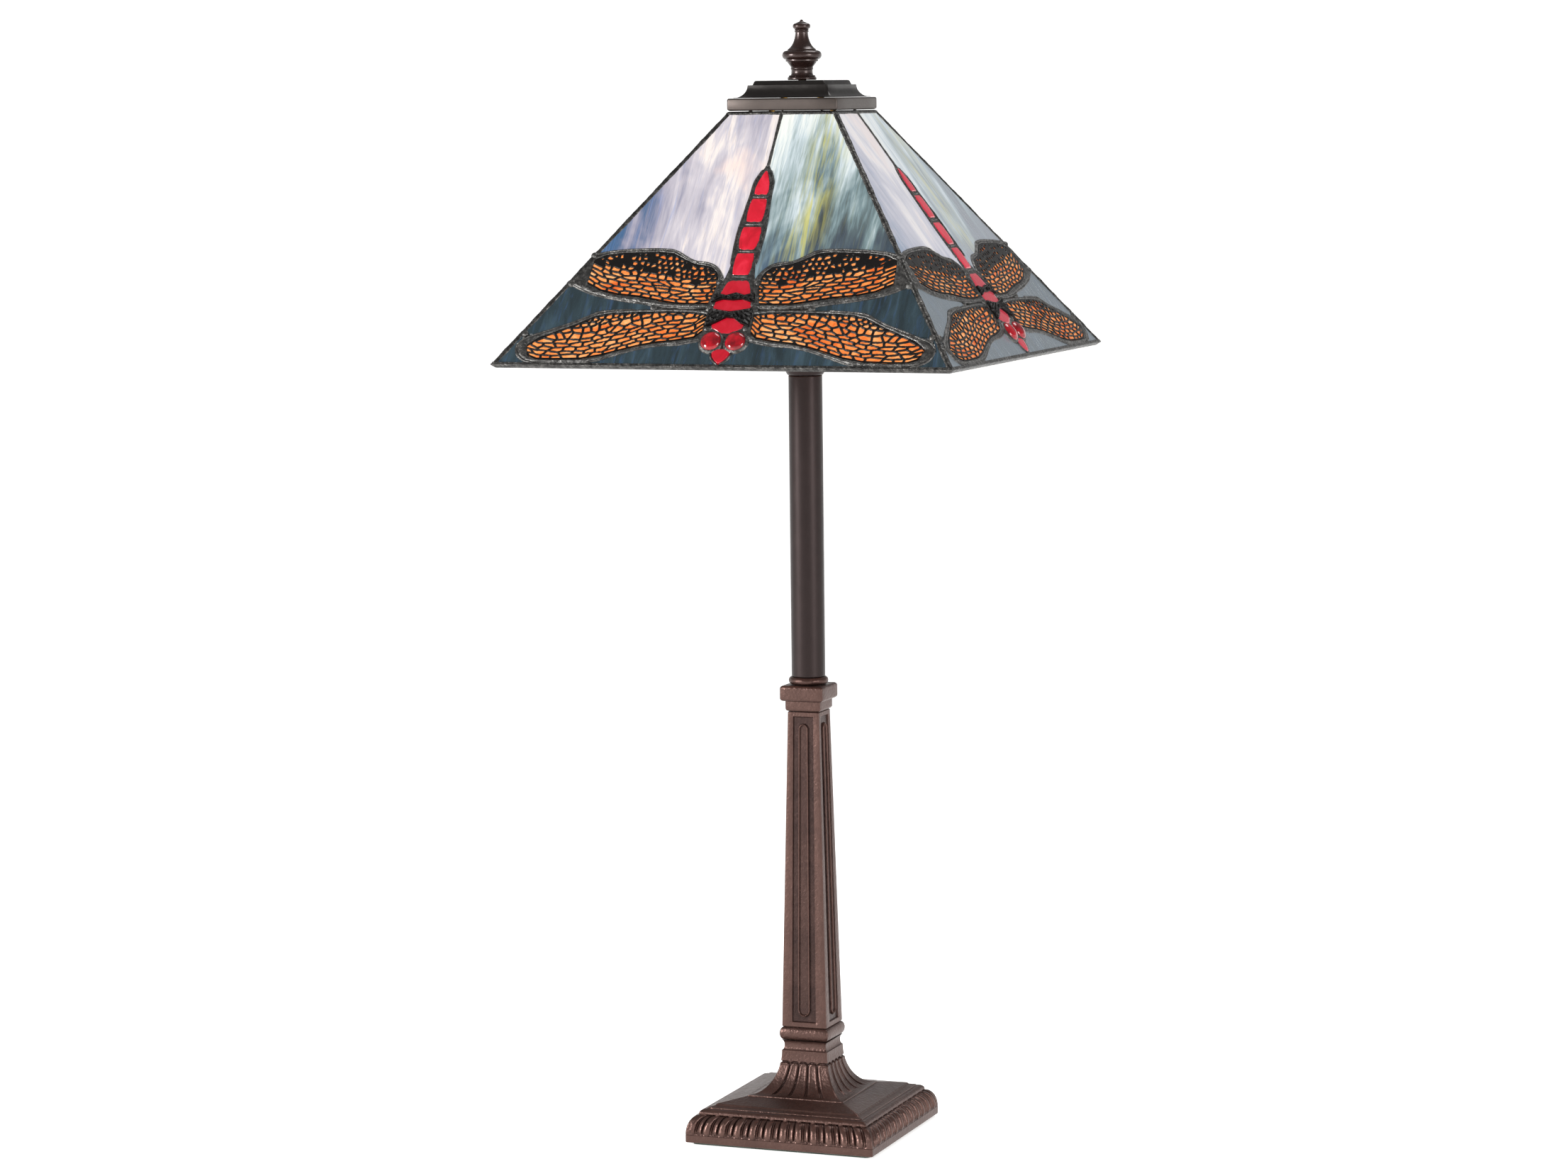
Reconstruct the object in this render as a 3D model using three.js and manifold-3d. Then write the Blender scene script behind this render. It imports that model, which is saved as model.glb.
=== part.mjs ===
// Mission table lamp: a square leaded glass shade with a dragonfly on each side,
// hung from a harp over a tapered bronze column on a moulded square base.
// Millimetres, +Z up. The origin is under the middle of the base and the front faces -Y.
import * as THREE from 'three';
import { mergeVertices } from 'three/addons/utils/BufferGeometryUtils.js';
import Module from 'manifold-3d';

const wasm = await Module();
wasm.setup();

// ---------------------------------------------------------------------------
// Driving dimensions
// ---------------------------------------------------------------------------

// Clearances
const FIT = 0.3; // between pieces that are clamped or soldered together
const TURNING_FIT = 0.5; // around pieces that turn or slide

// Base: widths are across the flats, heights are added one above the other
const FELT_THICKNESS = 1.6;
const FELT_MARGIN = 4; // the felt stops this far inside the base's edge
const BASE_WIDTH = 150;
const BAND_HEIGHT = 6.1;
const GADROON_HEIGHT = 14;
const GADROON_DEPTH = 8;
const BEAD_HEIGHT = 4;
const BEAD_DEPTH = 4;
const LEDGE_HEIGHT = 3;
const LEDGE_DEPTH = 6;
const SLOPE_HEIGHT = 4;
const FOOT_WIDTH = 75; // where the fluted foot starts
const FOOT_HEIGHT = 32;
const FOOT_NECK_WIDTH = 36.5;
const CAVETTO_HEIGHT = 7.7;
const CAVETTO_DEPTH = 1.6;
const BASE_WALL = 5;

// Ballast, lock nut and cord bushing inside the base
const WEIGHT_THICKNESS = 10;
const WEIGHT_MARGIN = 10; // between the weight and the casting's walls
const WASHER_DIAMETER = 32;
const WASHER_THICKNESS = 2;
const NUT_WIDTH = 16; // across the flats
const NUT_THICKNESS = 5;
const PIPE_TAIL = 1.6; // how far the pipe shows below its nut
const BUSHING_WIDTH = 6.4;
const BUSHING_HEIGHT = 5;
const BUSHING_BORE = 3.2;
const BUSHING_FLANGE = 0.5; // how far the flange reaches past the notch
const BUSHING_FLANGE_THICKNESS = 1.2;

// Column
const COLLAR_WIDTH = 39.1;
const COLLAR_HEIGHT = 9.9;
const COLUMN_HEIGHT = 240.8;
const COLUMN_BOTTOM_WIDTH = 35.8;
const COLUMN_TOP_WIDTH = 25;
const COLUMN_WALL = 4.5;
const PANEL_DEPTH = 1.2; // the recessed panel in each face
const PANEL_BOTTOM_WIDTH = 19.9;
const PANEL_TOP_WIDTH = 17.1;
const PANEL_END_MARGIN = 4;
const CAPITAL_LOWER_WIDTH = 28;
const CAPITAL_LOWER_HEIGHT = 7.9;
const CAPITAL_UPPER_WIDTH = 34.3;
const CAPITAL_UPPER_HEIGHT = 11.7;
const CAPITAL_ROUNDING = 2.2;

// Stem
const RING_OVERHANG = 2.3; // how far the ring stands out past the tube
const RING_HEIGHT = 5.7;
const TUBE_DIAMETER = 25.4;
const TUBE_WALL = 1.2;
const TUBE_LENGTH = 227;
const NECK_FLARE = 2.8; // how far the cup opens past the tube
const NECK_HEIGHT = 12.5;
const PIPE_DIAMETER = 10.3;
const PIPE_BORE = 6.8;

// Harp
const SADDLE_THICKNESS = 1.6;
const SADDLE_WIDTH = 19;
const TAB_WIDTH = 3.2;
const TAB_HEIGHT = 15.7;
const HARP_LEG_SPREAD = 57.2; // between the middles of the two legs
const HARP_LEG_LENGTH = 27; // the straight part, along which the sleeve slides
const HARP_HEIGHT = 185.4; // from the foot of a leg to the seat
const HARP_WIDTH = 98; // between the middles of the wires where they are furthest apart
const HARP_WIRE = 3.6;
const SEAT_DIAMETER = 17;
const SEAT_THICKNESS = 3.6;
const STUD_DIAMETER = 6.35;
const STUD_LENGTH = 17;
const SLEEVE_DIAMETER = 6.6;
const SLEEVE_BORE = 4.8;
const SLEEVE_LENGTH = 18;

// Socket and bulb
const SOCKET_DIAMETER = 33.6; // the shell
const SOCKET_LENGTH = 48;
const SHELL_WALL = 0.8;
const SOCKET_CAP_HEIGHT = 20;
const SOCKET_CAP_NECK = 17;
const LINER_WALL = 0.7;
const CORE_HEIGHT = 18;
const SCREW_SHELL_WALL = 0.6;
const KEY_SHAFT = 4;
const KEY_REACH = 25; // from the lamp's axis to the thumb piece
const KEY_LENGTH = 13;
const KEY_WIDTH = 18;
const KEY_THICKNESS = 3.4;
const BULB_DIAMETER = 60;
const BULB_GLASS_HEIGHT = 84; // above its base
const BULB_BASE_HEIGHT = 25;
const BULB_NECK_DIAMETER = 25;
const BULB_WALL = 1;

// Shade: the widths are across the outside of the leading
const SHADE_WIDTH = 355.6;
const SHADE_TOP_WIDTH = 84.9;
const SHADE_RISE = 181.2;
const LEAD_THICKNESS = 4;
const LEAD_WIDTH = 4;
const GLASS_THICKNESS = 3;
const HIP_DIAMETER = 6; // the round bead along each corner
const RIM_HEIGHT = 2.8; // the channel around the bottom edge, along the slope
const RIM_LIP = 0.5; // how far the channel reaches below the panels' lower edge
const TOP_STRIP = 3; // the border around the top, along the slope

// Cap on top of the shade
const CAP_SHEET = 1.2;
const CAP_BAND_HEIGHT = 9.1;
const CAP_BAND_FLARE = 1;
const CAP_BAND_FLANGE = 6;
const CAP_STEP = 3.3; // the slope starts this far inside the band
const CAP_SLOPE_HEIGHT = 9.3;
const CAP_SLOPE_RUN = 8.5;
const CAP_PLATE_STEP = 2.95;
const CAP_PLATE_HEIGHT = 3.3;
const CAP_PLATE_DRAFT = 1.1;

// Finial, from its flange up to its tip
const FINIAL_FLANGE_DIAMETER = 21.6;
const FINIAL_FLANGE_HEIGHT = 3.5;
const FINIAL_NECK_DIAMETER = 16.2;
const FINIAL_NECK_HEIGHT = 6.1;
const FINIAL_BULGE_DIAMETER = 29.4;
const FINIAL_CONE_HEIGHT = 5;
const FINIAL_BULGE_HEIGHT = 7.6;
const FINIAL_BELL_DIAMETER = 20.6;
const FINIAL_BELL_HEIGHT = 12.8;
const FINIAL_WAIST_DIAMETER = 9.6;
const FINIAL_BEAD_HEIGHT = 2.4;
const FINIAL_KNOB_DIAMETER = 13.2;
const FINIAL_KNOB_HEIGHT = 5.2;
const FINIAL_TIP_HEIGHT = 2;

// Facets
const ROUND_SIDES = 24;
const WIRE_SIDES = 8;
const HARP_STEPS = 44;
const ARC_STEPS = 5;

// ---------------------------------------------------------------------------
// The cartoon of one shade panel. A point is [across, up]: across is a share of the panel's
// half-width at that height, and up is a share of the panel's slant height. Only the right
// half is drawn, because the left half mirrors it.
// ---------------------------------------------------------------------------

const WING_SHOULDER = [[0.09, 0.37], [0.2, 0.39], [0.37, 0.41]];
const WING_TOP = [...WING_SHOULDER, [0.465, 0.438], [0.55, 0.443], [0.8, 0.438], [1, 0.425]];
const UPPER_WING_UNDERSIDE = [[1, 0.315], [0.817, 0.27], [0.7, 0.254], [0.59, 0.243], [0.42, 0.222]];
const LOWER_WING_TOP = [[0.6, 0.204], [0.68, 0.197], [0.73, 0.179], [0.823, 0.138], [0.9, 0.108]];
const WING_TIP = [[0.94, 0.075], [0.905, 0.03], [0.852, 0]];
const LOWER_WING_UNDERSIDE = [[0.553, 0], [0.466, 0.034], [0.385, 0.056], [0.3, 0.07], [0.125, 0.09]];
const TAIL_SIDE = [[0, 0.78], [0.07, 0.69], [0.09, 0.6], [0.09, 0.5]];
const THORAX_SIDE = [[0.11, 0.3], [0.108, 0.22], [0.09, 0.15]];
const HEAD_SIDE = [[0.095, 0.052], [0, 0.036]];

// ---------------------------------------------------------------------------
// Geometry helpers
// ---------------------------------------------------------------------------

// Points of an elliptical arc in a profile, from one angle to another in quarter turns.
function arc(centreAcross, centreUp, radiusAcross, radiusUp, from, to, steps = ARC_STEPS) {
  return Array.from({ length: steps + 1 }, (_, i) => {
    const angle = (from + ((to - from) * i) / steps) * (Math.PI / 2);
    return [centreAcross + radiusAcross * Math.cos(angle), centreUp + radiusUp * Math.sin(angle)];
  });
}

// A profile of [half-width, height] points turned about the Z axis.
function turned(profile, sides = ROUND_SIDES) {
  const points = profile.map(([across, up]) => new THREE.Vector2(across, up));
  return new THREE.LatheGeometry(points, sides).rotateX(Math.PI / 2);
}

// The same for a square moulding: four flat sides whose half-widths are the profile's.
function mitred(profile) {
  const points = profile.map(([across, up]) => new THREE.Vector2(across * Math.SQRT2, up));
  return new THREE.LatheGeometry(points, 4, Math.PI / 4).rotateX(Math.PI / 2);
}

function box(width, depth, height, x, y, z) {
  return new THREE.BoxGeometry(width, depth, height).translate(x, y, z);
}

function rod(diameter, bottom, top, sides = ROUND_SIDES) {
  const geometry = new THREE.CylinderGeometry(diameter / 2, diameter / 2, top - bottom, sides);
  return geometry.rotateX(Math.PI / 2).translate(0, 0, (bottom + top) / 2);
}

// A rod lying along Y, from one y to another.
function crossRod(diameter, from, to, z) {
  const geometry = new THREE.CylinderGeometry(diameter / 2, diameter / 2, to - from, ROUND_SIDES);
  return geometry.translate(0, (from + to) / 2, z);
}

function outline(points) {
  return new THREE.Shape(points.map(([x, y]) => new THREE.Vector2(x, y)));
}

function regularPolygon(sides, radius) {
  return Array.from({ length: sides }, (_, i) => {
    const angle = ((i + 0.5) / sides) * 2 * Math.PI;
    return [radius * Math.cos(angle), radius * Math.sin(angle)];
  });
}

function extruded(shape, depth, start = 0) {
  return new THREE.ExtrudeGeometry(shape, { depth, bevelEnabled: false }).translate(0, 0, start);
}

function solid(geometry) {
  const bare = new THREE.BufferGeometry();
  bare.setAttribute('position', geometry.getAttribute('position').clone());
  if (geometry.index) bare.setIndex(geometry.index.clone());
  const merged = mergeVertices(bare, 1e-4);
  const triVerts = [];
  for (let i = 0; i < merged.index.count; i += 3) {
    const [a, b, c] = [0, 1, 2].map((k) => merged.index.getX(i + k));
    if (a !== b && b !== c && c !== a) triVerts.push(a, b, c);
  }
  const vertProperties = new Float32Array(merged.getAttribute('position').array);
  const mesh = new wasm.Mesh({ numProp: 3, vertProperties, triVerts: new Uint32Array(triVerts) });
  return new wasm.Manifold(mesh);
}

function surface(manifold) {
  const mesh = manifold.getMesh();
  const geometry = new THREE.BufferGeometry();
  geometry.setAttribute('position', new THREE.Float32BufferAttribute(mesh.vertProperties, 3));
  geometry.setIndex(new THREE.Uint32BufferAttribute(mesh.triVerts, 1));
  return geometry.toNonIndexed();
}

function joined(...geometries) {
  return surface(geometries.map(solid).reduce((sum, next) => sum.add(next)));
}

function cut(geometry, ...tools) {
  return surface(tools.map(solid).reduce((rest, tool) => rest.subtract(tool), solid(geometry)));
}

// A clearance hole for the pipe, right through a piece.
function pipeHole(bottom, top) {
  return rod(PIPE_DIAMETER + 2 * FIT, bottom - 1, top + 1);
}

// A closed outline moved inwards by a distance, with mitred corners. It turns anticlockwise.
function inset(points, distance) {
  const count = points.length;
  const edges = points.map(([x, y], i) => {
    const [nextX, nextY] = points[(i + 1) % count];
    const length = Math.hypot(nextX - x, nextY - y);
    const [alongX, alongY] = [(nextX - x) / length, (nextY - y) / length];
    return { x: x - alongY * distance, y: y + alongX * distance, alongX, alongY };
  });
  return edges.map((edge, i) => {
    const last = edges[(i + count - 1) % count];
    const cross = last.alongX * edge.alongY - last.alongY * edge.alongX;
    if (Math.abs(cross) < 1e-6) return [edge.x, edge.y];
    const reach = ((edge.x - last.x) * edge.alongY - (edge.y - last.y) * edge.alongX) / cross;
    return [last.x + last.alongX * reach, last.y + last.alongY * reach];
  });
}

const mirror = (points) => points.map(([across, up]) => [-across, up]).reverse();

// ---------------------------------------------------------------------------
// Materials
// ---------------------------------------------------------------------------

function finish(color, roughness, metalness, extra = {}) {
  return new THREE.MeshStandardMaterial({ color, roughness, metalness, ...extra });
}

const BRONZE = finish('#5a443e', 0.45, 0.6);
const TUBE_BRONZE = finish('#3a302f', 0.4, 0.6);
const CAP_BRONZE = finish('#4c4440', 0.4, 0.7);
const FINIAL_BRONZE = finish('#3a2624', 0.3, 0.6);
const SOLDER = finish('#46444a', 0.4, 0.8);
const FELT = finish('#2c4033', 0.95, 0);
const IRON = finish('#4a4a4c', 0.7, 0.8);
const ZINC_STEEL = finish('#a3a39f', 0.4, 0.9);
const BRASS = finish('#b8924a', 0.35, 0.9);
const NYLON = finish('#1d1b1b', 0.5, 0);
const FIBRE = finish('#8d8069', 0.85, 0);
const PHENOLIC = finish('#26211f', 0.5, 0);
const FROSTED_GLASS = finish('#f7f3e8', 0.5, 0);
const SKY_GLASS = finish('#cdd3e4', 0.25, 0);
const WING_GLASS = finish('#f09a52', 0.3, 0);
const BODY_GLASS = finish('#c81c30', 0.15, 0);
const GROUND_GLASS = finish('#3a5266', 0.25, 0);

function piece(name, geometry, material) {
  const mesh = new THREE.Mesh(geometry, material);
  mesh.name = name;
  return mesh;
}

// ---------------------------------------------------------------------------
// Heights, from the table up
// ---------------------------------------------------------------------------

const baseBottom = FELT_THICKNESS + FIT;
const bandTop = baseBottom + BAND_HEIGHT;
const gadroonTop = bandTop + GADROON_HEIGHT;
const beadTop = gadroonTop + BEAD_HEIGHT;
const ledgeTop = beadTop + LEDGE_HEIGHT;
const footBottom = ledgeTop + SLOPE_HEIGHT;
const footTop = footBottom + FOOT_HEIGHT;
const baseTop = footTop + CAVETTO_HEIGHT;
const collarBottom = baseTop + FIT;
const collarTop = collarBottom + COLLAR_HEIGHT;
const columnBottom = collarTop + FIT;
const columnTop = columnBottom + COLUMN_HEIGHT;
const capitalBottom = columnTop + FIT;
const capitalTop = capitalBottom + CAPITAL_LOWER_HEIGHT + CAPITAL_UPPER_HEIGHT;
const ringBottom = capitalTop + FIT;
const ringTop = ringBottom + RING_HEIGHT;
const tubeBottom = ringTop + FIT;
const tubeTop = tubeBottom + TUBE_LENGTH;
const neckBottom = tubeTop + FIT;
const neckTop = neckBottom + NECK_HEIGHT;
const saddleBottom = neckTop + FIT;
const saddleTop = saddleBottom + SADDLE_THICKNESS;
const legBottom = saddleBottom + TAB_HEIGHT + FIT;
const seatTop = legBottom + HARP_HEIGHT;
const capUnderside = seatTop + FIT;
const capPlateTop = capUnderside + CAP_SHEET + CAP_PLATE_HEIGHT;
const finialBottom = capPlateTop + FIT;

// ---------------------------------------------------------------------------
// Base
// ---------------------------------------------------------------------------

const baseHalf = BASE_WIDTH / 2;
const ovoloHalf = baseHalf - GADROON_DEPTH;
const beadHalf = ovoloHalf - BEAD_DEPTH;
const ledgeHalf = beadHalf - LEDGE_DEPTH;
const footHalf = FOOT_WIDTH / 2;
const footNeckHalf = FOOT_NECK_WIDTH / 2;
const ceiling = beadTop - BASE_WALL / 3; // the flat underside that the weight is pulled against

// The foot's outline is a quarter ellipse, hollow to the outside.
function footCurve(wall) {
  return arc(footHalf - wall, footTop, footHalf - footNeckHalf, FOOT_HEIGHT, -1, -2, 8);
}

function feltPad() {
  const half = baseHalf - FELT_MARGIN;
  return box(2 * half, 2 * half, FELT_THICKNESS, 0, 0, FELT_THICKNESS / 2);
}

function bushingProfile(grow) {
  const half = BUSHING_WIDTH / 2 + grow;
  const top = BUSHING_HEIGHT + grow;
  const crown = arc(0, top - half, half, half, 0, 2, 8);
  return [[-half, 0], [half, 0], ...crown];
}

function baseCasting() {
  const wallHalf = baseHalf - BASE_WALL;
  const outside = mitred([
    [0, baseBottom],
    [baseHalf, baseBottom],
    ...arc(ovoloHalf, bandTop, GADROON_DEPTH, GADROON_HEIGHT, 0, 1),
    ...arc(beadHalf, gadroonTop, BEAD_DEPTH, BEAD_HEIGHT, 0, 1, 3).slice(1),
    [ledgeHalf, ledgeTop],
    ...footCurve(0),
    ...arc(footNeckHalf, (footTop + baseTop) / 2, CAVETTO_DEPTH, CAVETTO_HEIGHT / 2, -1, -3),
    [0, baseTop],
  ]);
  const hollow = mitred([
    [0, baseBottom - 1],
    [wallHalf, baseBottom - 1],
    [wallHalf, bandTop],
    [ledgeHalf, ceiling],
    [footHalf - BASE_WALL, ceiling],
    ...footCurve(BASE_WALL).map(([across, up]) => [across, up - BASE_WALL]),
    [0, footTop - BASE_WALL],
  ]);
  const notch = extruded(outline(bushingProfile(FIT)), 2 * BASE_WALL).rotateX(Math.PI / 2);
  notch.translate(0, baseHalf + BASE_WALL, baseBottom);
  return cut(outside, hollow, notch, pipeHole(footTop - BASE_WALL, baseTop));
}

function cordBushing() {
  const middle = BUSHING_HEIGHT - BUSHING_WIDTH / 2;
  const bore = new THREE.Path().absarc(0, middle, BUSHING_BORE / 2, 0, 2 * Math.PI);
  const body = outline(bushingProfile(0));
  const flange = outline(bushingProfile(FIT + BUSHING_FLANGE));
  body.holes.push(bore);
  flange.holes.push(bore);
  const geometry = joined(
    extruded(body, BASE_WALL + 2 * FIT + BUSHING_FLANGE_THICKNESS / 2, BUSHING_FLANGE_THICKNESS / 2),
    extruded(flange, BUSHING_FLANGE_THICKNESS),
  );
  return geometry.rotateX(Math.PI / 2).translate(0, baseHalf + FIT + BUSHING_FLANGE_THICKNESS, baseBottom);
}

const weightTop = ceiling - FIT;
const weightBottom = weightTop - WEIGHT_THICKNESS;
const washerTop = weightBottom - FIT;
const nutTop = washerTop - WASHER_THICKNESS - FIT;
const pipeBottom = nutTop - NUT_THICKNESS - PIPE_TAIL;

function baseWeight() {
  const half = ledgeHalf - WEIGHT_MARGIN / 2;
  const plate = box(2 * half, 2 * half, WEIGHT_THICKNESS, 0, 0, (weightTop + weightBottom) / 2);
  return cut(plate, pipeHole(weightBottom, weightTop));
}

function flatRing(shape, thickness, bottom) {
  shape.holes.push(new THREE.Path().absarc(0, 0, PIPE_DIAMETER / 2 + FIT, 0, 2 * Math.PI));
  return extruded(shape, thickness, bottom);
}

function baseWasher() {
  const disc = outline(regularPolygon(ROUND_SIDES, WASHER_DIAMETER / 2));
  return flatRing(disc, WASHER_THICKNESS, washerTop - WASHER_THICKNESS);
}

function baseNut() {
  const hexagon = outline(regularPolygon(6, NUT_WIDTH / 2 / Math.cos(Math.PI / 6)));
  return flatRing(hexagon, NUT_THICKNESS, nutTop - NUT_THICKNESS);
}

// ---------------------------------------------------------------------------
// Column and stem
// ---------------------------------------------------------------------------

function columnCollar() {
  const half = COLLAR_WIDTH / 2;
  const bulge = COLLAR_HEIGHT / 4;
  const ring = mitred([
    [0, collarBottom],
    ...arc(half - bulge, collarBottom + COLLAR_HEIGHT / 2, bulge, COLLAR_HEIGHT / 2, -1, 1, 8),
    [0, collarTop],
  ]);
  return cut(ring, pipeHole(collarBottom, collarTop));
}

// The cutter for one face's recessed panel: a tapered slab that leans with the face.
function panelCutter(side) {
  const bottomHalf = COLUMN_BOTTOM_WIDTH / 2;
  const topHalf = COLUMN_TOP_WIDTH / 2;
  const lean = Math.atan2(bottomHalf - topHalf, COLUMN_HEIGHT);
  const length = COLUMN_HEIGHT / Math.cos(lean);
  const shape = outline([
    [-PANEL_BOTTOM_WIDTH / 2, PANEL_END_MARGIN],
    [PANEL_BOTTOM_WIDTH / 2, PANEL_END_MARGIN],
    [PANEL_TOP_WIDTH / 2, length - PANEL_END_MARGIN],
    [-PANEL_TOP_WIDTH / 2, length - PANEL_END_MARGIN],
  ]);
  const slab = extruded(shape, PANEL_DEPTH + 1, -PANEL_DEPTH).rotateX(Math.PI / 2 - lean);
  return slab.translate(0, -bottomHalf, columnBottom).rotateZ((side * Math.PI) / 2);
}

function taperedColumn() {
  const bottomHalf = COLUMN_BOTTOM_WIDTH / 2;
  const topHalf = COLUMN_TOP_WIDTH / 2;
  const shaft = mitred([
    [bottomHalf - COLUMN_WALL, columnBottom],
    [bottomHalf, columnBottom],
    [topHalf, columnTop],
    [topHalf - COLUMN_WALL, columnTop],
    [bottomHalf - COLUMN_WALL, columnBottom],
  ]);
  return cut(shaft, ...[0, 1, 2, 3].map(panelCutter));
}

function capital() {
  const lowerHalf = CAPITAL_LOWER_WIDTH / 2;
  const upperHalf = CAPITAL_UPPER_WIDTH / 2;
  const middle = capitalBottom + CAPITAL_LOWER_HEIGHT;
  const round = CAPITAL_ROUNDING;
  const block = mitred([
    [0, capitalBottom],
    ...arc(lowerHalf - round, capitalBottom + round, round, round, -1, 0, 3),
    [lowerHalf, middle],
    ...arc(upperHalf - round, middle + round, round, round, -1, 0, 3),
    [upperHalf, capitalTop - round],
    [upperHalf - round, capitalTop],
    [0, capitalTop],
  ]);
  return cut(block, pipeHole(capitalBottom, capitalTop));
}

const holeRadius = PIPE_DIAMETER / 2 + FIT;

function tubeRing() {
  const radius = TUBE_DIAMETER / 2 + RING_OVERHANG;
  const bulge = RING_HEIGHT / 2;
  return turned([
    [holeRadius, ringBottom],
    ...arc(radius - bulge, ringBottom + bulge, bulge, bulge, -1, 1, 6),
    [holeRadius, ringTop],
    [holeRadius, ringBottom],
  ]);
}

function stemTube() {
  const outer = TUBE_DIAMETER / 2;
  const inner = outer - TUBE_WALL;
  return turned([
    [inner, tubeBottom],
    [outer, tubeBottom],
    [outer, tubeTop],
    [inner, tubeTop],
    [inner, tubeBottom],
  ]);
}

function neckCup() {
  const lip = NECK_HEIGHT / 5;
  return turned([
    [holeRadius, neckBottom],
    [TUBE_DIAMETER / 2, neckBottom],
    ...arc(TUBE_DIAMETER / 2, neckTop - lip, NECK_FLARE, NECK_HEIGHT - lip, -1, 0).slice(1),
    [TUBE_DIAMETER / 2 + NECK_FLARE, neckTop],
    [holeRadius, neckTop],
    [holeRadius, neckBottom],
  ]);
}

function threadedPipe() {
  const outer = PIPE_DIAMETER / 2;
  const inner = PIPE_BORE / 2;
  return turned([
    [inner, pipeBottom],
    [outer, pipeBottom],
    [outer, pipeTop],
    [inner, pipeTop],
    [inner, pipeBottom],
  ]);
}

// ---------------------------------------------------------------------------
// Harp
// ---------------------------------------------------------------------------

const legX = HARP_LEG_SPREAD / 2;

function harpSaddle() {
  const half = legX + SADDLE_THICKNESS / 2;
  const waist = TAB_WIDTH / 2;
  const middle = SADDLE_WIDTH / 2;
  const corners = [[middle, -middle], [half, -waist], [half, waist], [middle, middle]];
  const strip = outline([...corners, ...corners.map(([x, y]) => [-x, -y])]);
  const tab = (x) => {
    const height = TAB_HEIGHT - SADDLE_THICKNESS / 2;
    return box(SADDLE_THICKNESS, TAB_WIDTH, height, x, 0, saddleBottom + TAB_HEIGHT - height / 2);
  };
  const body = joined(extruded(strip, SADDLE_THICKNESS, saddleBottom), tab(legX), tab(-legX));
  return cut(body, pipeHole(saddleBottom, saddleTop));
}

// One side of the harp's wire, from the foot of the leg to the seat, as [x, z] points.
function harpSide() {
  const wide = HARP_WIDTH / 2;
  const wireTop = seatTop - SEAT_THICKNESS / 2;
  const bow = wireTop - legBottom - HARP_LEG_LENGTH;
  const start = legBottom + HARP_LEG_LENGTH;
  return [
    [legX, start],
    [legX + (wide - legX) * 0.55, start + bow * 0.17],
    [wide, start + bow * 0.42],
    [wide * 0.93, start + bow * 0.62],
    [wide * 0.68, start + bow * 0.82],
    [wide * 0.34, start + bow * 0.95],
    [SEAT_DIAMETER / 4, wireTop],
  ];
}

function harp() {
  const side = harpSide();
  const foot = [legX, legBottom];
  const right = [foot, [legX, legBottom + HARP_LEG_LENGTH / 2], ...side];
  const left = right.map(([x, z]) => [-x, z]).reverse();
  const points = [...right, ...left].map(([x, z]) => new THREE.Vector3(x, 0, z));
  const path = new THREE.CatmullRomCurve3(points, false, 'centripetal');
  const wire = new THREE.ExtrudeGeometry(outline(regularPolygon(WIRE_SIDES, HARP_WIRE / 2)), {
    steps: HARP_STEPS,
    extrudePath: path,
  });
  const seat = rod(SEAT_DIAMETER, seatTop - SEAT_THICKNESS, seatTop);
  const stud = rod(STUD_DIAMETER, seatTop - SEAT_THICKNESS / 2, seatTop + STUD_LENGTH, 12);
  return joined(wire, seat, stud);
}

function harpSleeve() {
  const outer = SLEEVE_DIAMETER / 2;
  const inner = SLEEVE_BORE / 2;
  const bottom = saddleTop + FIT;
  const top = bottom + SLEEVE_LENGTH;
  const profile = [[inner, bottom], [outer, bottom], [outer, top], [inner, top], [inner, bottom]];
  return turned(profile, 12);
}

// ---------------------------------------------------------------------------
// Socket and bulb
// ---------------------------------------------------------------------------

const shellOuter = SOCKET_DIAMETER / 2;
const shellInner = shellOuter - SHELL_WALL;
const linerOuter = shellInner - FIT;
const coreRadius = linerOuter - LINER_WALL - FIT;
const bulbBaseRadius = coreRadius - SCREW_SHELL_WALL - TURNING_FIT;
const socketBottom = saddleTop + FIT;
const socketCapTop = socketBottom + SOCKET_CAP_HEIGHT;
const shellBottom = socketCapTop - SOCKET_CAP_HEIGHT / 4;
const shellTop = shellBottom + SOCKET_LENGTH;
const coreBottom = shellBottom + 2 * SHELL_WALL;
const coreTop = coreBottom + CORE_HEIGHT;
const keyHeight = (coreBottom + socketCapTop + CORE_HEIGHT) / 2;
const pipeTop = coreBottom - 2 * FIT;
const bulbBottom = coreTop + TURNING_FIT;
const bulbBaseTop = bulbBottom + BULB_BASE_HEIGHT;

// A thin-walled turned piece: its outside line from the bottom up, and the wall inside it.
function turnedSheet(line, wall) {
  const inside = line.map(([across, up]) => [across - wall, up]).reverse();
  return [...line, ...inside, line[0]];
}

function socketCap() {
  const outer = shellOuter + FIT + SHELL_WALL;
  const neck = SOCKET_CAP_NECK / 2;
  const throat = socketBottom + SOCKET_CAP_HEIGHT / 4;
  const skirt = shellBottom - SHELL_WALL;
  return turned([
    [holeRadius, socketBottom],
    [neck, socketBottom],
    [neck, throat],
    [outer, skirt],
    [outer, socketCapTop],
    [outer - SHELL_WALL, socketCapTop],
    [outer - SHELL_WALL, skirt + SHELL_WALL / 2],
    [neck - SHELL_WALL, throat + SHELL_WALL],
    [holeRadius, throat + SHELL_WALL],
    [holeRadius, socketBottom],
  ]);
}

function keyHole(extra) {
  return crossRod(KEY_SHAFT + 2 * TURNING_FIT + extra, -shellOuter - 2, -coreRadius / 2, keyHeight);
}

function socketShell() {
  const line = [[shellOuter, shellBottom], [shellOuter, shellTop]];
  return cut(turned(turnedSheet(line, SHELL_WALL)), keyHole(1));
}

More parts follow.
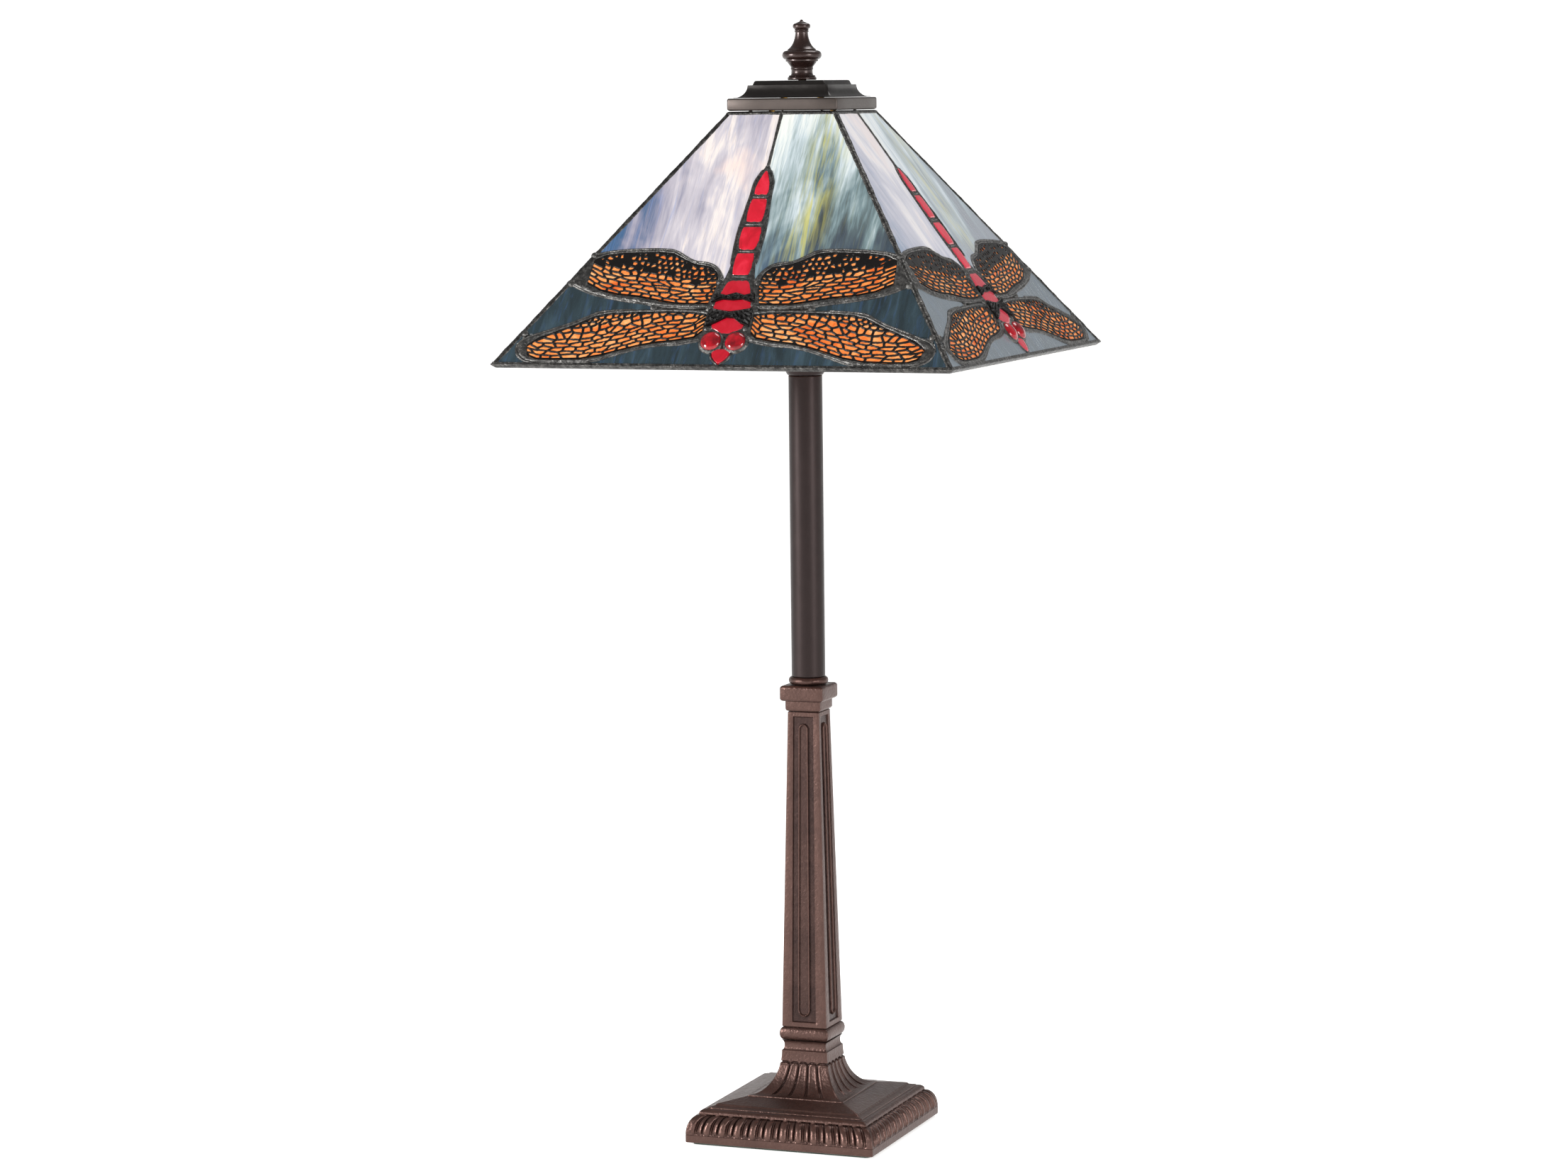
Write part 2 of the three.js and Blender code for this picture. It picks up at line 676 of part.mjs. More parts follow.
function socketLiner() {
  const line = [[linerOuter, shellBottom + FIT], [linerOuter, shellTop - FIT]];
  return cut(turned(turnedSheet(line, LINER_WALL)), keyHole(1));
}

function socketInterior() {
  const cup = turned([
    [0, coreBottom],
    [coreRadius, coreBottom],
    [coreRadius, shellTop - 2 * FIT],
    [coreRadius - SCREW_SHELL_WALL, shellTop - 2 * FIT],
    [coreRadius - SCREW_SHELL_WALL, coreTop],
    [0, coreTop],
  ]);
  return cut(cup, keyHole(0));
}

function switchKey() {
  const shaft = crossRod(KEY_SHAFT, -KEY_REACH - 1, -coreRadius / 2 - TURNING_FIT, keyHeight);
  const round = KEY_LENGTH / 2;
  const half = KEY_WIDTH / 2 - round;
  const shape = outline([...arc(half, 0, round, round, -1, 1, 6), ...arc(-half, 0, round, round, 1, 3, 6)]);
  const thumb = extruded(shape, KEY_THICKNESS, -KEY_THICKNESS / 2);
  return joined(shaft, thumb.translate(0, -KEY_REACH - round, keyHeight));
}

function bulbBase() {
  const tip = bulbBaseRadius / 3;
  const shoulder = bulbBottom + BULB_BASE_HEIGHT / 5;
  return turned([
    [0, bulbBottom],
    [tip, bulbBottom],
    [bulbBaseRadius, shoulder],
    [bulbBaseRadius, bulbBaseTop],
    [0, bulbBaseTop],
  ]);
}

function bulbGlass() {
  const radius = BULB_DIAMETER / 2;
  const bottom = bulbBaseTop + FIT;
  const middle = bottom + BULB_GLASS_HEIGHT - radius;
  const line = (wall) => [
    [BULB_NECK_DIAMETER / 2 - wall, bottom],
    [BULB_NECK_DIAMETER / 2 + 1 - wall, bottom + BULB_GLASS_HEIGHT * 0.14],
    [radius * 0.78 - wall, bottom + BULB_GLASS_HEIGHT * 0.36],
    ...arc(0, middle, radius - wall, radius - wall, -0.3, 1, 9).slice(0, -1),
    [0, middle + radius - wall],
  ];
  return turned([...line(0), ...line(BULB_WALL).reverse(), line(0)[0]]);
}

// ---------------------------------------------------------------------------
// Cap and finial
// ---------------------------------------------------------------------------

const slopeTop = capUnderside + CAP_SHEET;
const slopeBottom = slopeTop - CAP_SLOPE_HEIGHT;
const bandUpper = slopeBottom - FIT;
const bandLower = bandUpper - CAP_BAND_HEIGHT;
const bandHalf = SHADE_TOP_WIDTH / 2;

function capBand() {
  const flared = bandHalf + CAP_BAND_FLARE;
  const flange = flared - CAP_BAND_FLANGE;
  return mitred([
    [bandHalf - CAP_SHEET, bandLower],
    [bandHalf, bandLower],
    [flared, bandLower + CAP_BAND_FLARE],
    [flared, bandUpper],
    [flange, bandUpper],
    [flange, bandUpper - CAP_SHEET],
    [flared - CAP_SHEET, bandUpper - CAP_SHEET],
    [flared - CAP_SHEET, bandLower + CAP_BAND_FLARE],
    [bandHalf - CAP_SHEET, bandLower],
  ]);
}

function shadeCap() {
  const foot = bandHalf + CAP_BAND_FLARE - CAP_STEP;
  const shoulder = foot - CAP_SLOPE_RUN;
  const plate = shoulder - CAP_PLATE_STEP;
  const sweep = arc(foot, slopeTop, CAP_SLOPE_RUN, CAP_SLOPE_HEIGHT, -1, -2, 4);
  const cap = mitred([
    ...sweep,
    [plate, slopeTop],
    [plate - CAP_PLATE_DRAFT, capPlateTop],
    [0, capPlateTop],
    [0, capUnderside],
    [shoulder - CAP_SHEET, capUnderside],
    ...sweep.slice(0, -1).reverse().map(([across, up]) => [across - CAP_SHEET, up]),
    sweep[0],
  ]);
  return cut(cap, rod(STUD_DIAMETER + 2 * TURNING_FIT, capUnderside - 1, capPlateTop + 1));
}

function finial() {
  const neckStart = finialBottom + FINIAL_FLANGE_HEIGHT;
  const coneStart = neckStart + FINIAL_NECK_HEIGHT;
  const bulgeStart = coneStart + FINIAL_CONE_HEIGHT;
  const bellStart = bulgeStart + FINIAL_BULGE_HEIGHT;
  const waist = bellStart + FINIAL_BELL_HEIGHT;
  const knobStart = waist + FINIAL_BEAD_HEIGHT;
  const knobEnd = knobStart + FINIAL_KNOB_HEIGHT;
  const tip = knobEnd + FINIAL_TIP_HEIGHT;
  const bellRun = (FINIAL_BELL_DIAMETER - FINIAL_WAIST_DIAMETER) / 2;
  const bulgeRound = FINIAL_BULGE_HEIGHT / 2;
  const bore = STUD_DIAMETER / 2 + FIT;
  const boreTop = seatTop + STUD_LENGTH + 2 * FIT;
  return turned([
    [bore, finialBottom],
    [FINIAL_FLANGE_DIAMETER / 2, finialBottom],
    [FINIAL_FLANGE_DIAMETER / 2, neckStart],
    [FINIAL_NECK_DIAMETER / 2, neckStart],
    [FINIAL_NECK_DIAMETER / 2, coneStart],
    ...arc(FINIAL_BULGE_DIAMETER / 2 - bulgeRound, bulgeStart + bulgeRound, bulgeRound, bulgeRound, -1, 1, 6),
    [FINIAL_BELL_DIAMETER / 2, bellStart],
    ...arc(FINIAL_BELL_DIAMETER / 2, waist, bellRun, FINIAL_BELL_HEIGHT, -1, -2).slice(1),
    ...arc(FINIAL_WAIST_DIAMETER / 2, waist + FINIAL_BEAD_HEIGHT / 2, 0.6, FINIAL_BEAD_HEIGHT / 2, -1, 1, 4),
    [FINIAL_KNOB_DIAMETER / 2 - 1, knobStart],
    [FINIAL_KNOB_DIAMETER / 2, knobStart + 1],
    [FINIAL_KNOB_DIAMETER / 2, knobEnd - 1],
    [FINIAL_KNOB_DIAMETER / 2 - 1, knobEnd],
    [0, tip],
    [0, boreTop],
    [bore, boreTop],
    [bore, finialBottom],
  ]);
}

// ---------------------------------------------------------------------------
// Shade: four leaded panels in a soldered frame
// ---------------------------------------------------------------------------

const shadeTop = bandLower - FIT;
const shadeBottom = shadeTop - SHADE_RISE;
const tilt = Math.atan2((SHADE_WIDTH - SHADE_TOP_WIDTH) / 2, SHADE_RISE); // from upright
const slant = SHADE_RISE / Math.cos(tilt);
const middleHalf = SHADE_WIDTH / 2 - LEAD_THICKNESS / 2 / Math.cos(tilt);

// A point of the panels' middle plane in a profile: a distance up the slope and one outwards.
function onSlope(up, outwards) {
  return [
    middleHalf - up * Math.sin(tilt) + outwards * Math.cos(tilt),
    shadeBottom + up * Math.cos(tilt) + outwards * Math.sin(tilt),
  ];
}

function slopeStrip(from, to, thickness) {
  const half = thickness / 2;
  const start = onSlope(from, -half);
  return mitred([start, onSlope(from, half), onSlope(to, half), onSlope(to, -half), start]);
}

const rimTop = RIM_HEIGHT - RIM_LIP;
const stripTop = slant - (LEAD_THICKNESS / 2) * Math.tan(tilt); // its upper corner is just under the cap band
const stripBottom = stripTop - TOP_STRIP;

function shadeFrame() {
  const rim = slopeStrip(-RIM_LIP, rimTop, LEAD_THICKNESS + 2 * FIT);
  const top = slopeStrip(stripBottom, stripTop, LEAD_THICKNESS);
  const [lowHalf, low] = onSlope(0, 0);
  const [highHalf, high] = onSlope(stripTop - TOP_STRIP / 2, 0);
  const hips = [[1, 1], [-1, 1], [-1, -1], [1, -1]].map(([x, y]) => {
    const foot = new THREE.Vector3(x * lowHalf, y * lowHalf, low);
    const head = new THREE.Vector3(x * highHalf, y * highHalf, high);
    const along = head.clone().sub(foot);
    const bead = new THREE.CylinderGeometry(HIP_DIAMETER / 2, HIP_DIAMETER / 2, along.length(), WIRE_SIDES);
    const up = new THREE.Vector3(0, 1, 0);
    bead.applyQuaternion(new THREE.Quaternion().setFromUnitVectors(up, along.normalize()));
    const middle = foot.add(head).multiplyScalar(0.5);
    return bead.translate(middle.x, middle.y, middle.z);
  });
  return joined(rim, top, ...hips);
}

// The panel's own outline stops clear of the rim, the top border and the corner beads.
const panelStart = rimTop + FIT;
const panelLength = stripBottom - FIT - panelStart;
const hipClear = (HIP_DIAMETER / 2 + FIT) * Math.hypot(1, Math.sin(tilt));
const panelBottomHalf = onSlope(panelStart, 0)[0] - hipClear;
const panelTopHalf = onSlope(panelStart + panelLength, 0)[0] - hipClear;

function onPanel([across, up]) {
  return [across * (panelBottomHalf + (panelTopHalf - panelBottomHalf) * up), up * panelLength];
}

const shoulder = WING_TOP[0];
const wing = [
  ...WING_TOP,
  ...UPPER_WING_UNDERSIDE,
  ...LOWER_WING_TOP,
  ...WING_TIP,
  ...LOWER_WING_UNDERSIDE,
  ...[...THORAX_SIDE].reverse(),
].reverse();
const side = [...TAIL_SIDE, shoulder, ...THORAX_SIDE, LOWER_WING_UNDERSIDE.at(-1), ...HEAD_SIDE];
const body = [...mirror(side.slice(1)).reverse(), ...side.slice(0, -1).reverse()];
const ground = [[1, 0], ...UPPER_WING_UNDERSIDE, ...LOWER_WING_TOP, ...WING_TIP];
const lowSide = [...LOWER_WING_UNDERSIDE, ...HEAD_SIDE];
const lowGround = [...lowSide, ...mirror(lowSide.slice(0, -1))];
const skySide = [...TAIL_SIDE, ...WING_TOP, [1, 1]];
const sky = [...skySide, ...mirror(skySide.slice(1))];

// Every area of glass in a panel. The sky's two sheets, the four segments of the tail, the
// thorax, the eyes and the head, and the upper and lower wing are each drawn as one piece.
const AREAS = [
  ['sky', sky, SKY_GLASS],
  ['dragonfly_body', body, BODY_GLASS],
  ['wings_right', wing, WING_GLASS],
  ['wings_left', mirror(wing), WING_GLASS],
  ['ground_right', ground, GROUND_GLASS],
  ['ground_left', mirror(ground), GROUND_GLASS],
  ['ground_low', lowGround, GROUND_GLASS],
];

function panel(name) {
  const group = new THREE.Group();
  const plate = outline([[-1, 0], [1, 0], [1, 1], [-1, 1]].map(onPanel));
  const openings = [];
  for (const [area, points, glass] of AREAS) {
    const drawn = points.map(onPanel);
    const pane = outline(inset(drawn, LEAD_WIDTH / 2 + FIT));
    const geometry = extruded(pane, GLASS_THICKNESS, -GLASS_THICKNESS / 2);
    group.add(piece(`glass_${name}_${area}`, geometry, glass));
    openings.push(extruded(outline(inset(drawn, LEAD_WIDTH / 2)), 2 * LEAD_THICKNESS, -LEAD_THICKNESS));
  }
  const leading = cut(extruded(plate, LEAD_THICKNESS, -LEAD_THICKNESS / 2), ...openings);
  group.add(piece(`leading_${name}`, leading, SOLDER));
  const [half, height] = onSlope(panelStart, 0);
  group.position.set(0, -half, height);
  group.rotation.x = Math.PI / 2 - tilt;
  return group;
}

// ---------------------------------------------------------------------------
// The lamp
// ---------------------------------------------------------------------------

const lamp = new THREE.Group();
lamp.add(
  piece('felt_pad', feltPad(), FELT),
  piece('base_casting', baseCasting(), BRONZE),
  piece('base_weight', baseWeight(), IRON),
  piece('base_washer', baseWasher(), ZINC_STEEL),
  piece('base_nut', baseNut(), ZINC_STEEL),
  piece('cord_bushing', cordBushing(), NYLON),
  piece('column_collar', columnCollar(), BRONZE),
  piece('tapered_column', taperedColumn(), BRONZE),
  piece('capital', capital(), BRONZE),
  piece('tube_ring', tubeRing(), BRONZE),
  piece('stem_tube', stemTube(), TUBE_BRONZE),
  piece('neck_cup', neckCup(), TUBE_BRONZE),
  piece('threaded_pipe', threadedPipe(), ZINC_STEEL),
  piece('harp_saddle', harpSaddle(), BRASS),
  piece('harp', harp(), BRASS),
  piece('socket_cap', socketCap(), BRASS),
  piece('socket_shell', socketShell(), BRASS),
  piece('socket_liner', socketLiner(), FIBRE),
  piece('socket_interior', socketInterior(), PHENOLIC),
  piece('switch_key', switchKey(), PHENOLIC),
  piece('bulb_base', bulbBase(), ZINC_STEEL),
  piece('bulb_glass', bulbGlass(), FROSTED_GLASS),
  piece('shade_frame', shadeFrame(), SOLDER),
  piece('cap_band', capBand(), CAP_BRONZE),
  piece('shade_cap', shadeCap(), CAP_BRONZE),
  piece('finial', finial(), FINIAL_BRONZE),
);

for (const [name, x] of [['left', -legX], ['right', legX]]) {
  const sleeve = piece(`harp_sleeve_${name}`, harpSleeve(), BRASS);
  sleeve.position.x = x;
  lamp.add(sleeve);
}

['front', 'right', 'back', 'left'].forEach((name, turn) => {
  const face = new THREE.Group();
  face.rotation.z = (turn * Math.PI) / 2;
  face.add(panel(name));
  lamp.add(face);
});

export default lamp;
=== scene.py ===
import math

import bmesh
import bpy
import numpy as np
from mathutils import Matrix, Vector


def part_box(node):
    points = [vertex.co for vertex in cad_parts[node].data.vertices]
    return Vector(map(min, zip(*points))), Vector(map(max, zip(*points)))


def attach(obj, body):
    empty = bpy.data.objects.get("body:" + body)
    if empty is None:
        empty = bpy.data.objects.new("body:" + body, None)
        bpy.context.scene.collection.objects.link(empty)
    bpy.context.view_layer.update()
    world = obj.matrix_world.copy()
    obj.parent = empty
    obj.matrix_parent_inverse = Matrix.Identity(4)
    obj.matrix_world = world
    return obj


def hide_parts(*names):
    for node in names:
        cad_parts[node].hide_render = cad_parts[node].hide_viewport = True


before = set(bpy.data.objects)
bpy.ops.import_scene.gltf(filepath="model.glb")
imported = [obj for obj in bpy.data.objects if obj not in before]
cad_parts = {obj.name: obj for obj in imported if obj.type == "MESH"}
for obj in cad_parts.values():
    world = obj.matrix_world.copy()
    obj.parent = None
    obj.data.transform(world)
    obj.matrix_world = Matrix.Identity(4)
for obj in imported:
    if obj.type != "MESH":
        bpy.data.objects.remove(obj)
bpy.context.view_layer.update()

bl_info = {
    "name": "Dragonfly Mission Lamp",
    "version": (1, 0, 0),
    "blender": (4, 5, 0),
    "location": "View3D > Sidebar > Lamp",
    "description": "Cast bronze stand, brass harp and leaded dragonfly shade of a mission table lamp",
    "category": "Add Mesh",
}

MM = 0.001
TURN = 2 * math.pi
SIDES = ("front", "right", "back", "left")


# ---------------------------------------------------------------------------
# Places taken from the frame, in millimetres
# ---------------------------------------------------------------------------

def bottom(name):
    """The height of a node's underside."""
    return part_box(name)[0][2] / MM


def top(name):
    """The height of a node's upper side."""
    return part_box(name)[1][2] / MM


def half_width(name):
    """How far a node reaches to the right of the lamp's axis."""
    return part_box(name)[1][0] / MM


# The four panels lean together: the rise and the run between the rim and the cap band.
TILT = math.radians(36.757)
SINE, COSINE = math.sin(TILT), math.cos(TILT)
SHADE_FOOT = bottom("shade_frame") + 2.18
SHADE_HALF = half_width("shade_frame") - 2.51
SHADE_SLANT = (top("shade_frame") - SHADE_FOOT) / COSINE


# ---------------------------------------------------------------------------
# Sizes and colours
# ---------------------------------------------------------------------------

def tone(code):
    """A colour written as a six-figure code, turned from its display values to linear light."""
    shown = np.array([int(code[i:i + 2], 16) for i in (0, 2, 4)]) / 255
    linear = np.where(shown < 0.04045, shown / 12.92, ((shown + 0.055) / 1.055) ** 2.4)
    return (*linear.tolist(), 1.0)


def length(title, note, size):
    """A length property with its size in millimetres."""
    return bpy.props.FloatProperty(name=title, description=note, default=size * MM, unit="LENGTH")


def colour(title, note, code):
    """A colour property."""
    return bpy.props.FloatVectorProperty(
        name=title, description=note, default=tone(code), size=4, subtype="COLOR", min=0, max=1)


def number(title, note, value):
    """A plain factor."""
    return bpy.props.FloatProperty(name=title, description=note, default=value)


class StandSizes(bpy.types.PropertyGroup):
    """The cast stand and its finish."""
    gadroons: bpy.props.IntProperty(
        name="Gadroons", description="Tongues along each side of the base", default=12, min=3)
    gadroon_depth: length("Gadroon depth", "How deep the gadroons are carved", 3.0)
    flute_depth: length("Flute depth", "Depth of the grooves in the foot", 1.15)
    panel_depth: length("Panel depth", "How deep the column's panels are set back", 1.2)
    bead_height: length("Bead height", "Height of the oval bead in each column panel", 1.75)
    casting: colour("Casting", "Raised parts of the cast stand", "604740")
    # The grooves' darker tone stands for the patina there and for painted shade in the recesses.
    recess: colour("Recess", "Darker colour in the stand's grooves", "241716")
    tube: colour("Tube", "Colour of the smooth stem", "312726")
    peel: number("Orange peel", "Strength of the fine grain in the cast finish", 0.85)


class ShadeSizes(bpy.types.PropertyGroup):
    """The leaded shade and its glass."""
    lead: length("Lead width", "Width of the soldered seams between sheets", 3.6)
    seam_height: length("Seam height", "How far solder stands out from the panel's middle", 2.5)
    glass: length("Glass thickness", "Thickness of the glass sheets", 3.0)
    vein: length("Vein width", "Width of the metal veins over the wings", 2.0)
    glow: number("Glow", "How strongly the glass shines with the lamp lit", 0.62)
    solder: colour("Solder", "Dark patina on the solder", "3f3e3d")
    # The lighter solder tone stands for rubbed-through patina and for painted highlights.
    bright: colour("Bright solder", "Where the patina is rubbed through", "807e7b")
    filigree: colour("Filigree", "Etched metal over the wings", "1b1514")
    cap: colour("Cap", "Near-black bronze of the cap's swept top", "2b2725")
    band: colour("Band", "Brushed gunmetal of the cap's band", "4d4541")
    finial: colour("Finial", "Dark bronze of the finial", "38241f")


class StageSizes(bpy.types.PropertyGroup):
    """The camera's place and the studio."""
    lens: bpy.props.FloatProperty(name="Lens", description="Focal length in millimetres",
                                  default=100.65)
    distance: length("Distance", "From the lamp's axis to the camera", 3280.4)
    height: length("Height", "The camera's height", 788.9)
    azimuth: bpy.props.FloatProperty(
        name="Azimuth", description="Camera's turn from the front towards the right",
        default=math.radians(20.8), subtype="ANGLE")
    pitch: bpy.props.FloatProperty(
        name="Pitch", description="How far the camera looks down", default=math.radians(6.47),
        subtype="ANGLE")
    yaw: bpy.props.FloatProperty(
        name="Yaw", description="How far the camera looks left of the axis",
        default=math.radians(0.31), subtype="ANGLE")
    roll: bpy.props.FloatProperty(
        name="Roll", description="How far the camera is rolled clockwise",
        default=math.radians(0.65), subtype="ANGLE")


# ---------------------------------------------------------------------------
# Shapes
# ---------------------------------------------------------------------------

def loft(grid, ends="loop"):
    """Skin rows of points whose columns close on themselves. The last row joins the first, or
    with ends="caps" the first and the last row are each closed by one face."""
    rows, columns, _ = grid.shape
    index = np.arange(rows * columns).reshape(rows, columns)
    lower = index if ends == "loop" else index[:-1]
    upper = np.roll(index, -1, axis=0) if ends == "loop" else index[1:]
    quads = np.stack([lower, np.roll(lower, -1, 1), np.roll(upper, -1, 1), upper], -1)
    faces = [quads.reshape(-1, 4)]
    if ends == "caps":
        faces += [index[:1, ::-1], index[-1:]]
    return grid.reshape(-1, 3), faces, np.full((rows * columns, 3), 0.6)


def arc(across, up, wide, tall, start, end, steps=8):
    """Points of an elliptical arc: centre plus radii times cosine and sine, in quarter turns."""
    angle = np.linspace(start, end, steps + 1) * math.pi / 2
    return np.stack([across + wide * np.cos(angle), up + tall * np.sin(angle)], -1)


def line(*pieces):
    """One profile from points and runs of points."""
    return np.concatenate([np.atleast_2d(np.asarray(p, float)) for p in pieces])


def turned(profile, sides=64, centre=(0, 0), ends="loop", wave=None):
    """A profile of radius and height turned about an upright axis: x is the radius times the
    cosine and y the radius times the sine of the angle. wave(angle, height) adds to the radius."""
    profile = np.asarray(profile, float)
    angle = np.linspace(0, TURN, sides, endpoint=False)[None]
    radius, height = profile[:, :1], profile[:, 1:]
    if wave is not None:
        radius = radius + wave(angle, height)
    grid = np.stack([
        centre[0] + radius * np.cos(angle),
        centre[1] + radius * np.sin(angle),
        height + 0 * angle,
    ], -1)
    return loft(grid * MM, ends)


def ring(shares, bends=3):
    """Walk round a square of half-side 1: for each step its side's direction along and direction
    facing out, its own outward direction, and its share of the side. Each corner turns in a few
    extra steps."""
    quarter = np.linspace(0, math.pi / 2, bends + 2)[1:-1]
    share = np.concatenate([np.asarray(shares, float), np.ones(bends)])
    along = np.tile([1.0, 0.0], (len(share), 1))
    facing = np.tile([0.0, -1.0], (len(share), 1))
    outward = facing.copy()
    outward[len(shares):] = np.stack([np.sin(quarter), -np.cos(quarter)], -1)
    turns = [np.array([[round(math.cos(k * math.pi / 2)), round(math.sin(k * math.pi / 2))],
                       [-round(math.sin(k * math.pi / 2)),
                        round(math.cos(k * math.pi / 2))]]) for k in range(4)]
    spun = [np.concatenate([part @ turn for turn in turns]) for part in (along, facing, outward)]
    return (*spun, np.tile(share, 4))


def moulding(profile, relief=None, shares=(-1, -0.5, 0, 0.5, 1), rounding=0.7, depth=1.0, ends="loop",
             warp=None):
    """A square moulding: each profile point's half-width times the walk round the square, with
    rounded corners, plus relief(share, height, half) along the outward direction. warp moves the
    steps along each side, row by row, so that they follow an edge that isn't parallel to it."""
    profile = np.asarray(profile, float)
    half, height = profile[:, :1], profile[:, 1:]
    along, facing, outward, share = ring(shares)
    share = np.broadcast_to(share[None], (len(profile), len(share)))
    if warp is not None:
        share = warp(share, height, half)
    curve = np.minimum(rounding, half / 2)
    lift = np.zeros(share.shape)
    if relief is not None:
        lift = relief(share, height, half)
    core = along[None] * share[..., None] + facing[None]
    flat = core * (half - curve)[..., None] + outward[None] * (curve + lift)[..., None]
    grid = np.concatenate([flat, np.broadcast_to(height[..., None], (*lift.shape, 1))], -1)
    points, faces, marks = loft(grid * MM, ends)
    # The first mark is how raised the surface is, against depth; the finishes darken the recesses by
    # it, as patina and as painted shade.
    marks[:, 0] = np.clip(0.7 + 0.8 * lift.ravel() / depth, 0, 1)
    return points, faces, marks


def smooth_path(points, steps):
    """A smooth curve through points: cubic pieces whose slopes weigh the neighbours by the
    square root of their distances."""
    points = np.asarray(points, float)
    ends = np.concatenate([2 * points[:1] - points[1:2], points, 2 * points[-1:] - points[-2:-1]])
    knots = np.concatenate([[0], np.cumsum(np.linalg.norm(np.diff(ends, axis=0), axis=1) ** 0.5)])[:,
                                                                                                   None]
    before, here, after = ends[:-2], ends[1:-1], ends[2:]
    t0, t1, t2 = knots[:-2], knots[1:-1], knots[2:]
    slope = (here - before) / (t1 - t0) - (after - before) / (t2 - t0) + (after - here) / (t2 - t1)
    at = np.linspace(knots[1, 0], knots[-2, 0], steps)
    k = np.clip(np.searchsorted(t1[:, 0], at, side="right") - 1, 0, len(points) - 2)
    span = (t1[k + 1] - t1[k])
    x = ((at[:, None] - t1[k]) / span)
    return ((2 * x**3 - 3 * x**2 + 1) * points[k] + (x**3 - 2 * x**2 + x) * span * slope[k]
            + (3 * x**2 - 2 * x**3) * points[k + 1] + (x**3 - x**2) * span * slope[k + 1])


def resampled(points, count):
    """Points at equal steps along a line of points."""
    points = np.asarray(points, float)
    along = np.concatenate([[0], np.cumsum(np.linalg.norm(np.diff(points, axis=0), axis=1))])
    at = np.linspace(0, along[-1], count)
    return np.stack([np.interp(at, along, points[:, i]) for i in range(points.shape[1])], -1)


def waver(distance, seed, scale=7.0):
    """An uneven hand: three sines of different lengths with seeded starts, between -1 and 1."""
    start = np.random.default_rng(seed).uniform(0, TURN, 3)
    return (np.sin(distance / scale + start[0]) + 0.7 * np.sin(distance / (scale * 0.37) + start[1])
            + 0.5 * np.sin(distance / (scale * 0.19) + start[2])) / 2.2


def placed(across, up, outward, side):
    """Points given across and up a panel and outwards from its middle plane, put on one side of
    the shade: the plane leans by the tilt and is turned a quarter for each side."""
    half = SHADE_HALF - up * SINE + outward * COSINE
    height = SHADE_FOOT + up * COSINE + outward * SINE
    turn = side * math.pi / 2
    return np.stack([
        across * math.cos(turn) + half * math.sin(turn),
        across * math.sin(turn) - half * math.cos(turn),
        height + 0 * across,
    ], -1) * MM


def hip(up):
    """Half the panel's width at a distance up the slope."""
    return SHADE_HALF - up * SINE


def inside_hips(flat, clear):
    """Panel points kept a little inside the corner seams."""
    limit = hip(flat[..., 1]) - clear
    return np.stack([np.clip(flat[..., 0], -limit, limit), flat[..., 1]], -1)


def panel_marks(across, up, side):
    """What the glass and solder finishes read: across and up in metres, and the side's number."""
    return np.stack([across * MM, up * MM, np.full_like(across, float(side))], -1).reshape(-1, 3)


def pane(edge, far_edge, side, relief, low=-1.5, size=(40, 12), clear=1.0):
    """A closed sheet ruled between two edge curves: points at equal shares of the two curves are
    joined by straight lines. relief(across, up, share along, share between) is its upper face,
    low its flat lower face."""
    count, across_count = size
    a = resampled(edge, count)
    b = resampled(far_edge, count)
    t = np.linspace(0, 1, across_count)[None, :, None]
    flat = inside_hips(a[:, None] * (1 - t) + b[:, None] * t, clear)
    u, v = flat[..., 0], flat[..., 1]
    along_share = np.linspace(0, 1, count)[:, None]
    upper = placed(u, v, relief(u, v, along_share, t[..., 0]), side).reshape(-1, 3)
    lower = placed(u[:, [0, -1]], v[:, [0, -1]], low, side).reshape(-1, 3)
    face = np.arange(count * across_count).reshape(count, across_count)
    back = count * across_count + np.arange(2 * count).reshape(count, 2)
    quads = [
        np.stack([face[:-1, :-1], face[1:, :-1], face[1:, 1:], face[:-1, 1:]], -1).reshape(-1, 4),
        np.stack([back[:-1, 0], back[:-1, 1], back[1:, 1], back[1:, 0]], -1),
        np.stack([face[:-1, 0], back[:-1, 0], back[1:, 0], face[1:, 0]], -1),
        np.stack([face[:-1, -1], face[1:, -1], back[1:, 1], back[:-1, 1]], -1),
    ]
    ends = [
        np.concatenate([face[0], back[0, ::-1]])[None],
        np.concatenate([face[-1, ::-1], back[-1]])[None],
    ]
    marks = np.concatenate([
        panel_marks(u, v, side), panel_marks(u[:, [0, -1]], v[:, [0, -1]], side)])
    return np.concatenate([upper, lower]), quads + ends, marks


def seam(path, side, width, height, seed, smooth=True):
    """A soldered seam: an oval section carried along a path on the panel. Its width and height
    waver, and both ends are drawn in."""
    path = np.asarray(path, float)
    span = np.linalg.norm(np.diff(path, axis=0), axis=1).sum()
    count = max(6, int(span / 1.6))
    flat = smooth_path(path, count) if smooth and len(path) > 2 else resampled(path, count)
    tangent = np.gradient(flat, axis=0)
    tangent /= np.linalg.norm(tangent, axis=1, keepdims=True) + 1e-9
    normal = np.stack([-tangent[:, 1], tangent[:, 0]], -1)
    distance = np.linspace(0, span, count)
    draw = np.clip(np.minimum(distance, span - distance) / 1.2 + 0.35, 0, 1)
    wide = width / 2 * (1 + 0.13 * waver(distance, seed)) * draw
    high = height * (1 + 0.09 * waver(distance, seed + 1, 5.0)) * (0.55 + 0.45 * draw)
    angle = np.linspace(0, TURN, 10, endpoint=False)[None]
    u = flat[:, :1] + normal[:, :1] * wide[:, None] * np.cos(angle)
    v = flat[:, 1:] + normal[:, 1:] * wide[:, None] * np.cos(angle)
    points, faces, _ = loft(placed(u, v, high[:, None] * np.sin(angle), side), "caps")
    return points, faces, panel_marks(u, v, side)


